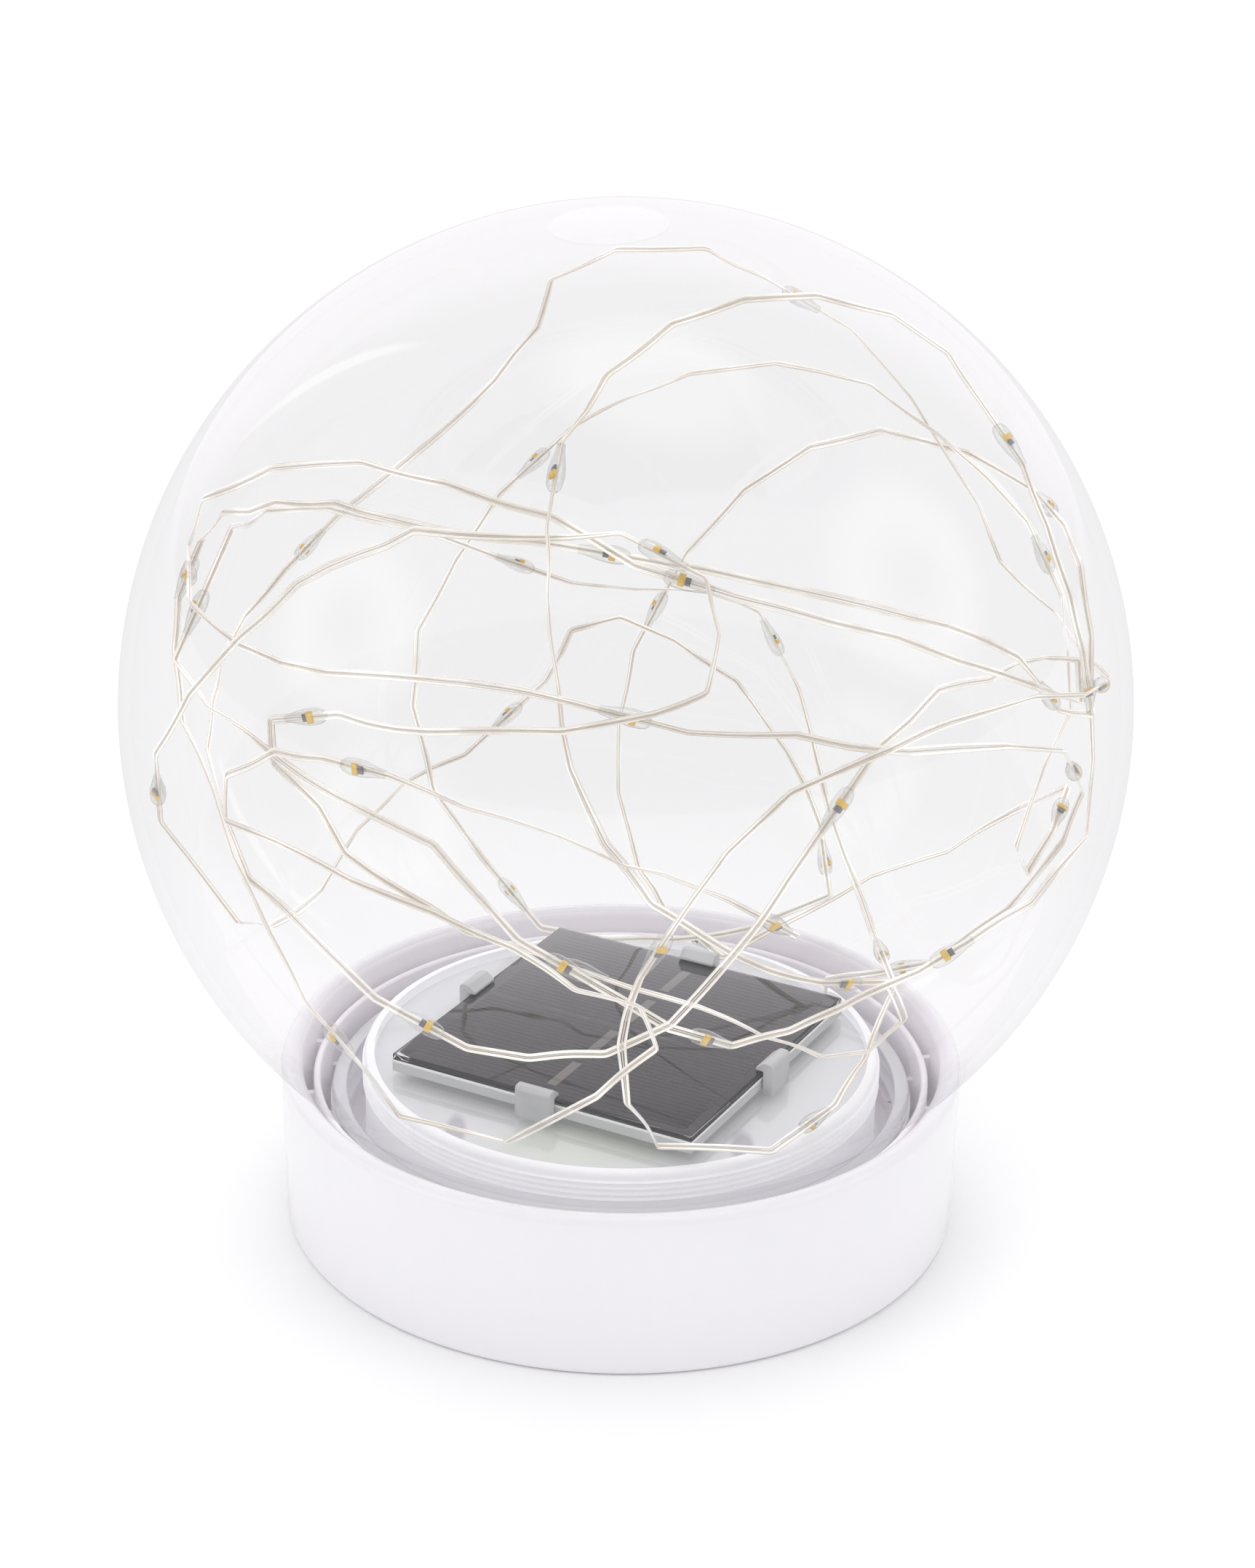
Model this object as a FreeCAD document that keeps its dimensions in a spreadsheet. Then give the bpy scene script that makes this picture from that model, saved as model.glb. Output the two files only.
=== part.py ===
import FreeCAD, Part
import math
import os
import Sketcher
from FreeCAD import Placement, Rotation, Vector

# Driving dimensions in millimetres, angles in degrees, and counts
SIZES = {
    # clear globe with its screw neck
    "globe_radius": 75.0,
    "globe_wall": 1.8,
    "neck_radius": 42.6,
    "neck_wall": 1.8,
    "neck_foot_gap": 1.0,
    "collar_width": 2.6,
    "collar_height": 2.85,
    "seal_thickness": 1.4,
    "seal_gap": 0.1,
    # thread between the neck and the socket
    "thread_pitch": 3.0,
    "thread_turns": 1.25,
    "thread_depth": 1.2,
    "thread_root": 1.0,
    "thread_crest": 0.6,
    "thread_bite": 0.4,
    "thread_start": 3.2,
    "running_gap": 0.3,
    # white base shell
    "base_height": 26.3,
    "skirt_draft": 0.4,
    "skirt_wall": 3.4,
    "lip_round": 1.5,
    "foot_round": 1.2,
    "web_height": 10.0,
    "web_thickness": 2.0,
    "ring_gap": 1.6,
    "ring_wall": 1.1,
    "socket_gap": 1.5,
    "ring_height": 23.0,
    "socket_wall": 1.3,
    "socket_lead": 2.25,
    "rib_count": 18,
    "rib_thickness": 1.2,
    "rib_bearing": 8.5,
    "rib_drop": 1.6,
    "hub_wall": 2.0,
    # screwed bottom cover
    "cover_recess": 1.0,
    "cover_thickness": 2.4,
    "cover_gap": 0.6,
    "gasket_thickness": 0.8,
    "guide_wall": 1.2,
    "guide_height": 2.2,
    "pad_height": 1.0,
    "edge_bevel": 0.5,
    # the three closing screws and the posts that take them
    "screw_inset": 5.3,
    "screw_radius": 1.2,
    "screw_length": 9.0,
    "screw_head_radius": 2.7,
    "screw_head_height": 1.3,
    "screw_gap": 0.1,
    "slot_width": 0.7,
    "slot_depth": 0.6,
    "post_radius": 3.2,
    # frosted tray that fills the neck
    "tray_height": 26.5,
    "tray_thickness": 1.6,
    "tray_wall": 1.2,
    "tray_gap": 0.8,
    "pip_height": 0.5,
    "pip_width": 5.0,
    "clip_width": 6.0,
    "clip_wall": 1.6,
    "clip_reach": 1.0,
    "clip_rise": 1.4,
    "clip_gap": 0.3,
    # solar panel on the tray
    "panel_corner_gap": 3.44,
    "panel_turn": -28.4,
    "panel_board": 1.2,
    "panel_resin": 1.8,
    "panel_edge": 0.4,
    "cell_count": 4,
    "cell_thickness": 0.3,
    "cell_margin": 2.4,
    "cell_gap": 0.8,
    "tab_width": 1.6,
    "tab_thickness": 0.15,
    "tab_share": 0.72,
    # grommet where the light string comes up
    "grommet_inset": 2.78,
    "grommet_bearing": 53.35,
    "grommet_radius": 1.7,
    "grommet_flange": 2.4,
    "grommet_rise": 1.2,
    # circuit board under the tray
    "board_drop": 1.6,
    "board_thickness": 1.6,
    "board_half": 24.0,
    "board_back": -2.0,
    "board_front": -25.0,
    "board_tip": -33.5,
    "board_tip_left": -6.0,
    "board_tip_right": 17.0,
    "board_screw_across": 20.0,
    "board_screw_back": -6.0,
    "board_screw_radius": 1.0,
    "board_screw_head": 1.9,
    "board_screw_head_height": 1.1,
    "board_post_radius": 2.3,
    # components soldered under the board
    "chip_case_length": 5.0,
    "chip_case_width": 3.9,
    "chip_case_height": 1.5,
    "chip_case_across": -14.0,
    "chip_case_front": -16.0,
    "coil_radius": 3.0,
    "coil_height": 4.0,
    "coil_across": 14.0,
    "coil_front": -12.0,
    "capacitor_radius": 2.5,
    "capacitor_height": 5.0,
    "capacitor_across": 12.0,
    "capacitor_front": -27.0,
    # battery, its holder and contacts
    "battery_radius": 7.25,
    "battery_length": 49.2,
    "battery_nub_radius": 2.75,
    "battery_nub_length": 1.3,
    "battery_back": 5.0,
    "battery_gap": 0.3,
    "holder_wall": 1.4,
    "holder_floor": 1.2,
    "holder_side": 8.6,
    "spring_room": 4.6,
    "spring_radius": 3.2,
    "spring_wire": 0.35,
    "spring_turns": 3,
    "plate_thickness": 0.4,
    "plate_width": 9.0,
    # push switch in the bottom cover
    "switch_front": -18.0,
    "switch_width": 14.0,
    "switch_body_height": 7.5,
    "button_radius": 4.2,
    "button_recess": 0.4,
    "button_flange": 5.5,
    "button_flange_height": 1.0,
    "button_travel": 1.5,
    "plunger_radius": 1.5,
    "plunger_length": 2.8,
    "cradle_wall": 1.5,
    "boot_width": 2.6,
    "boot_thickness": 0.6,
    # plain disc on top of the globe
    "label_radius": 8.5,
    "label_thickness": 0.25,
    "label_film": 0.05,
    "label_tilt": 5.6,
    "label_bearing": -116.9,
    # light string: twin wire, cast drops and light chips
    "wire_radius": 0.55,
    "drop_radius": 1.2,
    "drop_length": 7.0,
    "drop_neck_radius": 0.75,
    "chip_length": 1.6,
    "chip_width": 0.8,
    "chip_height": 0.4,
    "lead_rise": 3.0,
    # cuts run past the faces that they open
    "overrun": 2.0,
}

# Bearings of the three closing screws, seen in line with the panel
SCREW_BEARINGS = (-112.0, -26.0, 100.0)

# Route of the light string: bearing and latitude about the globe's centre in degrees, then the
# share of the globe's inner radius that the wire reaches there
ROUTE_SHARES = (
    (18, -50, 0.90), (13, -43, 0.95), (5, -30, 0.95), (-9, -14, 0.93), (-11, -6, 0.94), (-28, 6, 0.95),
    (-42, 11, 0.96), (-57, 14, 0.96), (-71, 18, 0.97), (-83, 19, 0.96), (-96, 22, 0.96),
    (-108, 23, 0.96), (-127, 21, 0.96), (-144, 20, 0.95), (-160, 20, 0.95), (-179, 21, 0.94),
    (-173, 29, 0.96), (-152, 39, 0.97), (-135, 44, 0.96), (-118, 44, 0.96), (-101, 42, 0.95),
    (-89, 37, 0.94), (-76, 33, 0.95), (-64, 29, 0.96), (-47, 22, 0.95), (-32, 15, 0.94), (-7, 4, 0.92),
    (-5, 9, 0.92), (-11, 12, 0.86), (-35, 17, 0.87), (-48, 19, 0.90), (-60, 15, 0.94), (-72, 2, 0.95),
    (-78, -8, 0.93), (-84, -18, 0.91), (-92, -24, 0.90), (-102, -25, 0.91), (-110, -24, 0.92),
    (-122, -19, 0.92), (-129, -11, 0.94), (-139, -7, 0.94), (-146, -1, 0.92), (-160, 1, 0.87),
    (-169, 4, 0.84), (172, 3, 0.85), (158, 4, 0.88), (145, 6, 0.92), (134, 11, 0.94), (119, 20, 0.95),
    (111, 29, 0.95), (106, 39, 0.95), (106, 50, 0.96), (94, 62, 0.95), (68, 65, 0.95), (60, 55, 0.95),
    (49, 43, 0.96), (42, 32, 0.95), (34, 17, 0.95), (30, 10, 0.94), (17, 7, 0.95), (-7, 7, 0.98),
    (-26, 12, 0.99), (-46, 16, 0.98), (-60, 15, 0.98), (-72, 12, 0.97), (-79, 6, 0.96), (-83, 0, 0.95),
    (-88, -9, 0.95), (-90, -20, 0.93), (-89, -35, 0.90), (-82, -54, 0.90), (-59, -52, 0.95),
    (-36, -54, 0.92), (-16, -54, 0.90), (3, -48, 0.87), (28, -46, 0.90), (47, -38, 0.93),
    (58, -27, 0.94), (64, -17, 0.95), (71, -7, 0.94), (79, -5, 0.95), (89, -5, 0.94), (98, -4, 0.94),
    (110, 1, 0.95), (122, 7, 0.94), (138, 14, 0.91), (157, 20, 0.88), (-174, 27, 0.88),
    (-165, 11, 0.93), (-148, 11, 0.94), (-133, 10, 0.95), (-124, 8, 0.95), (-111, 5, 0.95),
    (-105, -2, 0.93), (-102, -6, 0.92), (-93, -12, 0.91), (-84, -20, 0.89), (-75, -25, 0.88),
    (-68, -22, 0.90), (-62, -19, 0.91), (-55, -18, 0.90), (-51, -16, 0.92), (-45, -13, 0.94),
    (-34, -11, 0.96), (-17, -9, 0.97), (-10, -2, 0.95), (-7, 5, 0.94), (-5, 12, 0.95), (-2, 20, 0.96),
    (10, 21, 0.97), (21, 22, 0.98), (36, 23, 0.98), (52, 23, 0.97), (64, 18, 0.97), (74, 10, 0.97),
    (82, 0, 0.97), (89, -14, 0.96), (91, -24, 0.96), (91, -34, 0.96), (87, -45, 0.95), (80, -52, 0.93),
    (59, -60, 0.87), (49, -47, 0.94), (41, -39, 0.95), (29, -31, 0.96), (16, -20, 0.94), (-3, -9, 0.92),
    (-14, -11, 0.90), (-16, -17, 0.88), (-28, -8, 0.87), (-19, 0, 0.87), (-7, 3, 0.90), (-5, 10, 0.90),
    (10, 12, 0.93), (20, 19, 0.94), (28, 24, 0.93), (37, 28, 0.93), (48, 34, 0.93), (66, 34, 0.94),
    (81, 29, 0.96), (91, 24, 0.96), (98, 19, 0.97), (108, 9, 0.97), (114, 0, 0.97), (120, -9, 0.97),
    (123, -19, 0.95), (123, -31, 0.94), (118, -42, 0.93), (110, -54, 0.93), (95, -58, 0.90),
    (75, -58, 0.88), (56, -54, 0.87), (41, -45, 0.86), (53, -35, 0.90), (63, -26, 0.91),
    (73, -17, 0.91), (83, -12, 0.92), (91, -9, 0.93), (98, -11, 0.95), (102, -18, 0.95),
    (116, -27, 0.95), (127, -29, 0.96), (139, -33, 0.95), (153, -38, 0.95), (174, -36, 0.93),
    (-160, -24, 0.90), (-166, -10, 0.97), (-158, 2, 0.98), (-150, 12, 0.97), (-142, 21, 0.97),
    (-135, 29, 0.97), (-127, 34, 0.97), (-120, 38, 0.97), (-106, 39, 0.96), (-91, 40, 0.97),
    (-80, 35, 0.97), (-79, 29, 0.97), (-81, 23, 0.98), (-87, 21, 0.98), (-97, 19, 0.98),
    (-108, 18, 0.97), (-116, 17, 0.97), (-124, 17, 0.96), (-134, 14, 0.96), (-136, 8, 0.91),
    (-128, 5, 0.91), (-123, 1, 0.93), (-115, -2, 0.93), (-108, -6, 0.92), (-99, -9, 0.90),
    (-89, -15, 0.86), (-80, -18, 0.87), (-70, -25, 0.87), (-58, -33, 0.87), (-48, -35, 0.88),
    (-46, -28, 0.89), (-53, -19, 0.88), (-64, -16, 0.88), (-72, -12, 0.89), (-80, -6, 0.91),
    (-87, 0, 0.94), (-92, 7, 0.95), (-96, 15, 0.95), (-98, 24, 0.94), (-100, 33, 0.96),
    (-101, 40, 0.98), (-101, 50, 0.98), (-95, 59, 0.98), (-79, 67, 0.98), (-52, 70, 0.98),
    (-24, 67, 0.98), (-6, 59, 0.98), (-4, 51, 0.98), (-10, 45, 0.97), (-13, 37, 0.97), (-18, 30, 0.97),
    (-20, 22, 0.97), (-16, 14, 0.95), (-8, 3, 0.94), (-17, 7, 0.89), (-29, 18, 0.89), (-46, 26, 0.93),
    (-57, 30, 0.94), (-69, 34, 0.93), (-80, 37, 0.92), (-87, 38, 0.92), (-97, 39, 0.93),
    (-110, 39, 0.94), (-125, 39, 0.95), (-137, 39, 0.94), (-150, 36, 0.94), (-167, 30, 0.93),
    (-180, 22, 0.92), (-177, 15, 0.93), (-171, 10, 0.92), (-160, 5, 0.92), (-146, 2, 0.94),
    (-140, -4, 0.96), (-135, -12, 0.96), (-132, -21, 0.96), (-128, -31, 0.95), (-133, -47, 0.95),
    (-114, -53, 0.92), (-93, -28, 0.95), (-86, -18, 0.97), (-88, -12, 0.97), (-95, -10, 0.97),
    (-102, -6, 0.95), (-111, -3, 0.95), (-121, -1, 0.96), (-131, 1, 0.97), (-141, 0, 0.96),
    (-140, 6, 0.97), (-132, 11, 0.97), (-125, 12, 0.97), (-116, 12, 0.97), (-107, 10, 0.97),
    (-97, 8, 0.97), (-90, 5, 0.97), (-82, 1, 0.91), (-74, -5, 0.85), (-65, -13, 0.79),
)
# The light string's two strands share one tube; it and the spring's wire have this many flat sides
WIRE_SIDES = 6
# A light drop has this many flat sides, one of them square to its chip
DROP_SIDES = 8
# An arc of the string uses this share of the shorter of its two runs
ARC_SHARE = 0.45
# A drop is widest at this share of its length, and its chip clears the wire by this share of itself
DROP_WIDEST_SHARE = 0.42
CHIP_LIFT_SHARE = 0.1
# The wire on the power coil fills its drum up to this share of the flanges' radius
COIL_WAIST_SHARE = 0.85
# How many runs of the route lie before each run whose middle carries a light drop
DROP_RUN_COUNTS = (
    2, 6, 11, 16, 23, 27, 33, 39, 48, 56, 62, 68, 73, 76, 80, 84, 89, 96, 98, 103, 111, 117, 122,
    128, 135, 143, 149, 154, 161, 168, 176, 184, 191, 198, 207, 215, 219, 227, 234, 241, 256, 262,
)

doc = FreeCAD.newDocument("PoolLight")


class Size:
    """A length or angle: its number now and the sheet expression that keeps it."""

    def __init__(self, text, number):
        self.text = text
        self.number = number

    def join(self, sign, other, number):
        return Size(f"({self.text} {sign} {as_size(other).text})", number)

    def __add__(self, other):
        return self.join("+", other, self.number + as_size(other).number)

    def __sub__(self, other):
        return self.join("-", other, self.number - as_size(other).number)

    def __mul__(self, other):
        return self.join("*", other, self.number * as_size(other).number)

    def __truediv__(self, other):
        return self.join("/", other, self.number / as_size(other).number)

    def __neg__(self):
        return Size(f"(-{self.text})", -self.number)

    def __radd__(self, other):
        return as_size(other) + self

    def __rsub__(self, other):
        return as_size(other) - self

    def __rmul__(self, other):
        return as_size(other) * self


def as_size(value):
    """Takes a Size as it is, and a plain count or zero as a constant."""
    return value if isinstance(value, Size) else Size(f"{value}", value)


def square_root(value):
    return Size(f"sqrt({as_size(value).text})", math.sqrt(as_size(value).number))


def side_of(longest, other):
    """The third side of a right triangle with the given longest side."""
    return square_root(longest * longest - other * other)


def cosine(angle):
    return Size(f"cos({as_size(angle).text})", math.cos(math.radians(as_size(angle).number)))


def sine(angle):
    return Size(f"sin({as_size(angle).text})", math.sin(math.radians(as_size(angle).number)))


def fill_sheet():
    """Writes every driving dimension to the sheet under its alias."""
    sheet = doc.addObject("Spreadsheet::Sheet", "Sizes")
    for row, (alias, number) in enumerate(SIZES.items(), start=1):
        sheet.set(f"A{row}", alias.replace("_", " "))
        sheet.set(f"B{row}", str(number))
        sheet.setAlias(f"B{row}", alias)
    doc.recompute()
    return sheet


sheet = fill_sheet()


def size(alias):
    """A driving dimension as it stands in the sheet."""
    return Size(f"Sizes.{alias}", float(sheet.get(alias)))


def bind(item, path, value):
    """Sets a property now and keeps it on its expression."""
    item.setExpression(path, as_size(value).text)


def new_body(label, height=0, across=0, back=0, turn=0):
    """A body at a height and place in the row, turned about the upright axis."""
    body = doc.addObject("PartDesign::Body", label)
    body.Label = label
    place(body, across, back, height, turn)
    return body


def place(item, across=0, back=0, height=0, turn=0):
    """Sets an object's place on expressions; the turn is about the upright axis."""
    spin = as_size(turn)
    item.Placement = Placement(Vector(), Rotation(Vector(0, 0, 1), spin.number))
    bind(item, ".Placement.Base.x", across)
    bind(item, ".Placement.Base.y", back)
    bind(item, ".Placement.Base.z", height)
    if spin.number:
        bind(item, ".Placement.Rotation.Angle", spin)


def panel_place(across, back):
    """A point given in line with the panel, turned into the row's frame."""
    turn = size("panel_turn")
    return (across * cosine(turn) - back * sine(turn),
            across * sine(turn) + back * cosine(turn))


def sketch_on(body, role, name, height=0):
    """An empty sketch on one of the body's own origin planes, lifted by a height."""
    plane = [item for item in body.Origin.OriginFeatures if item.Role == role][0]
    sketch = body.newObject("Sketcher::SketchObject", name)
    sketch.AttachmentSupport = (plane, [""])
    sketch.MapMode = "FlatFace"
    bind(sketch, ".AttachmentOffset.Base.z", height)
    return sketch


def pin_point(sketch, edge, end, point):
    """Holds one end of an edge at its two coordinates."""
    for kind, value in (("DistanceX", point[0]), ("DistanceY", point[1])):
        value = as_size(value)
        if value.number == 0:
            rule = Sketcher.Constraint("PointOnObject", edge, end, -2 if kind == "DistanceX" else -1)
            sketch.addConstraint(rule)
            continue
        index = sketch.addConstraint(Sketcher.Constraint(kind, -1, 1, edge, end, value.number))
        bind(sketch, f"Constraints[{index}]", value)


def draw_outline(sketch, steps):
    """Draws a closed outline. A step is a corner, or a corner and the arc that leaves it,
    given by its radius and centre; corners with an arc beside them lie on that arc."""
    corners = [step[0] for step in steps]
    count = len(steps)
    first = sketch.GeometryCount
    for number, step in enumerate(steps):
        start = flat(step[0])
        end = flat(corners[(number + 1) % count])
        edge = round_edge(start, end, step[1]) if step[1] else Part.LineSegment(start, end)
        sketch.addGeometry(edge, False)
    for number, step in enumerate(steps):
        begins, ends = (1, 2) if not step[1] or turns_left(step) else (2, 1)
        following = steps[(number + 1) % count]
        next_begins = 1 if not following[1] or turns_left(following) else 2
        joint = Sketcher.Constraint("Coincident", first + number, ends,
                                    first + (number + 1) % count, next_begins)
        sketch.addConstraint(joint)
        pin_point(sketch, first + number, begins, step[0])
        if step[1]:
            radius = step[1][0]
            index = sketch.addConstraint(Sketcher.Constraint("Radius", first + number, radius.number))
            bind(sketch, f"Constraints[{index}]", radius)


def flat(point):
    return Vector(as_size(point[0]).number, as_size(point[1]).number, 0)


def turns_left(step):
    return step[1][2]


def round_edge(start, end, arc):
    """An arc between two points about a centre, left-handed or right-handed."""
    radius, centre, left = arc
    middle = flat(centre)
    angles = []
    for point in (start, end) if left else (end, start):
        angles.append(math.atan2(point.y - middle.y, point.x - middle.x))
    circle = Part.Circle(middle, Vector(0, 0, 1), radius.number)
    if angles[1] < angles[0]:
        angles[1] += 2 * math.pi
    return Part.ArcOfCircle(circle, angles[0], angles[1])


def corner(across, up):
    return ((across, up), None)


def arc_from(across, up, radius, centre, left):
    return ((across, up), (radius, centre, left))


def draw_circle(sketch, across, back, radius):
    """A full circle held by its centre and radius."""
    middle = flat((across, back))
    edge = sketch.addGeometry(Part.Circle(middle, Vector(0, 0, 1), radius.number), False)
    pin_point(sketch, edge, 3, (across, back))
    index = sketch.addConstraint(Sketcher.Constraint("Radius", edge, radius.number))
    bind(sketch, f"Constraints[{index}]", radius)


def revolve(body, name, steps, cut=False):
    """Turns an upright outline about the body's axis."""
    sketch = sketch_on(body, "XZ_Plane", name + "Outline")
    draw_outline(sketch, steps)
    kind = "PartDesign::Groove" if cut else "PartDesign::Revolution"
    feature = body.newObject(kind, name)
    feature.Profile = sketch
    feature.ReferenceAxis = (sketch, ["V_Axis"])
    feature.Angle = 360
    doc.recompute()
    return feature


def extrude(body, name, sketch, length, cut=False, midplane=False, down=False):
    """Pads or pockets a sketch by a length."""
    kind = "PartDesign::Pocket" if cut else "PartDesign::Pad"
    feature = body.newObject(kind, name)
    feature.Profile = sketch
    bind(feature, "Length", length)
    feature.Midplane = midplane
    feature.Reversed = down
    doc.recompute()
    return feature


def upright_profile(body, name, steps, thickness):
    """An upright plate: an outline in the XZ plane with its thickness shared both ways."""
    sketch = sketch_on(body, "XZ_Plane", name + "Outline")
    draw_outline(sketch, steps)
    return extrude(body, name, sketch, thickness, midplane=True)


def rectangle(left, right, front, back):
    return [corner(left, front), corner(right, front), corner(right, back), corner(left, back)]


def slab(body, name, outline, height, thickness, cut=False):
    """A level plate or pocket: an outline raised from a height by a thickness."""
    sketch = sketch_on(body, "XY_Plane", name + "Outline", height)
    draw_outline(sketch, outline)
    return extrude(body, name, sketch, thickness, cut=cut, down=cut)


def discs(body, name, spots, radius, height, thickness, cut=False):
    """Round bosses or holes of one radius at several spots, upwards from a height."""
    sketch = sketch_on(body, "XY_Plane", name + "Outline", height)
    for across, back in spots:
        draw_circle(sketch, across, back, radius)
    return extrude(body, name, sketch, thickness, cut=cut, down=cut)


def repeat_round(body, name, feature, count):
    """Repeats one feature about the upright axis."""
    axis = [item for item in body.Origin.OriginFeatures if item.Role == "Z_Axis"][0]
    pattern = body.newObject("PartDesign::PolarPattern", name)
    pattern.Originals = [feature]
    pattern.Axis = (axis, [""])
    pattern.Angle = 360
    bind(pattern, "Occurrences", count)
    body.Tip = pattern
    doc.recompute()
    return pattern


def helix_ridge(body, name, root, crest, height):
    """A thread ridge that climbs round the body from a height; root and crest are radii."""
    half_root = size("thread_root") / 2
    half_crest = size("thread_crest") / 2
    sketch = sketch_on(body, "XZ_Plane", name + "Outline")
    draw_outline(sketch, [
        corner(root, height - half_root),
        corner(crest, height - half_crest),
        corner(crest, height + half_crest),
        corner(root, height + half_root),
    ])
    ridge = body.newObject("PartDesign::AdditiveHelix", name)
    ridge.Profile = sketch
    ridge.ReferenceAxis = (sketch, ["V_Axis"])
    ridge.Mode = 1
    bind(ridge, "Pitch", size("thread_pitch"))
    bind(ridge, "Turns", size("thread_turns"))
    doc.recompute()
    return ridge


def top_edges(body):
    """Names of the edges that lie in the body's highest level face."""
    top = body.Shape.BoundBox.ZMax
    level = 1e-6
    names = []
    for index, edge in enumerate(body.Shape.Edges, start=1):
        box = edge.BoundBox
        if abs(box.ZMin - top) < level and abs(box.ZMax - top) < level:
            names.append(f"Edge{index}")
    return names


def bevel_top(body, name, width):
    """Breaks the edges round the body's highest face."""
    base = body.Tip
    edges = top_edges(body)
    bevel = body.newObject("PartDesign::Chamfer", name)
    bevel.Base = (base, edges)
    bind(bevel, "Size", width)
    doc.recompute()
    return bevel


# Radii that follow from the neck outwards and inwards
neck_radius = size("neck_radius")
bore_radius = neck_radius - size("neck_wall")
collar_radius = neck_radius + size("collar_width")
thread_crest_radius = neck_radius + size("thread_depth")
socket_bore = thread_crest_radius + size("running_gap")
socket_radius = socket_bore + size("socket_wall")
ring_inner = socket_radius + size("socket_gap")
ring_outer = ring_inner + size("ring_wall")
skirt_inner = ring_outer + size("ring_gap")
base_radius = skirt_inner + size("skirt_wall")
tray_radius = bore_radius - size("tray_gap")
tray_inner = tray_radius - size("tray_wall")
hub_radius = tray_inner
hub_inner = hub_radius - size("hub_wall")
guide_radius = hub_inner - size("running_gap")
guide_inner = guide_radius - size("guide_wall")
cover_radius = skirt_inner - size("cover_gap")

# Levels above the ground, from the bottom up
cover_under = size("cover_recess")
cover_top = cover_under + size("cover_thickness")
hub_foot = cover_top + size("gasket_thickness")
web_top = size("web_height")
web_under = web_top - size("web_thickness")
neck_foot = web_top + size("neck_foot_gap")
thread_end = web_top + size("thread_start") + size("thread_pitch") * size("thread_turns")
socket_top = thread_end + size("socket_lead")
seal_under = socket_top + size("seal_gap")
collar_under = seal_under + size("seal_thickness") + size("seal_gap")
collar_top = collar_under + size("collar_height")
globe_middle = collar_top + side_of(size("globe_radius"), collar_radius)
tray_top = size("tray_height")
tray_under = tray_top - size("tray_thickness")
board_top = tray_under - size("board_drop")
board_under = board_top - size("board_thickness")
panel_under = tray_top + size("pip_height")
panel_board_top = panel_under + size("panel_board")
panel_top = panel_board_top + size("panel_resin")

# Places in line with the panel
panel_half = (tray_radius - size("panel_corner_gap")) / square_root(2)
panel_turn = size("panel_turn")
first_bearing = size("rib_bearing")
switch_front = size("switch_front")


def screw_spots():
    """Centres of the three closing screws, in line with the panel."""
    ring = hub_inner - size("screw_inset")
    return [(ring * cosine(bearing), ring * sine(bearing)) for bearing in SCREW_BEARINGS]


def grommet_spot():
    """Centre of the light string's way out of the tray, in line with the panel."""
    reach = tray_inner - size("grommet_inset")
    bearing = size("grommet_bearing")
    return (reach * cosine(bearing), reach * sine(bearing))


def board_screw_spots():
    across = size("board_screw_across")
    back = size("board_screw_back")
    return [(-across, back), (across, back)]


def build_globe():
    """Moulded ball: two concentric spheres that run into a screw neck with a collar."""
    body = new_body("globe", turn=first_bearing)
    middle = (0, globe_middle)
    outer = size("globe_radius")
    inner = outer - size("globe_wall")
    bore_top = globe_middle - side_of(inner, bore_radius)
    revolve(body, "Ball", [
        corner(bore_radius, neck_foot),
        corner(neck_radius, neck_foot),
        corner(neck_radius, collar_under),
        corner(collar_radius, collar_under),
        arc_from(collar_radius, collar_top, outer, middle, True),
        corner(0, globe_middle + outer),
        arc_from(0, globe_middle + inner, inner, middle, False),
        corner(bore_radius, bore_top),
    ])
    ridge_height = web_top + size("thread_start") - size("thread_pitch") / 2
    helix_ridge(body, "NeckThread", neck_radius - size("thread_bite"), thread_crest_radius, ridge_height)
    return body


def build_neck_seal():
    """Silicone ring with a round rim, trapped between the socket and the collar."""
    body = new_body("neck_seal")
    half = size("seal_thickness") / 2
    inside = neck_radius + size("running_gap")
    outside = collar_radius - half
    middle = (outside, seal_under + half)
    revolve(body, "SealRing", [
        corner(inside, seal_under),
        arc_from(outside, seal_under, half, middle, True),
        arc_from(collar_radius, seal_under + half, half, middle, True),
        corner(outside, seal_under + size("seal_thickness")),
        corner(inside, seal_under + size("seal_thickness")),
    ])
    return body


def build_label():
    """Plain clear disc that lies on the ball just beside its pole."""
    body = new_body("top_label")
    inside = size("globe_radius") + size("label_film")
    outside = inside + size("label_thickness")
    rim = size("label_radius")
    revolve(body, "Disc", [
        arc_from(rim, side_of(outside, rim), outside, (0, 0), True),
        corner(0, outside),
        arc_from(0, inside, inside, (0, 0), False),
        corner(rim, side_of(inside, rim)),
    ])
    bearing = size("label_bearing")
    tilt = size("label_tilt")
    axis = Vector(-sine(bearing).number, cosine(bearing).number, 0)
    body.Placement = Placement(Vector(), Rotation(axis, tilt.number))
    bind(body, ".Placement.Base.z", globe_middle)
    bind(body, ".Placement.Rotation.Axis.x", -sine(bearing))
    bind(body, ".Placement.Rotation.Axis.y", cosine(bearing))
    bind(body, ".Placement.Rotation.Angle", tilt)
    return body


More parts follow.
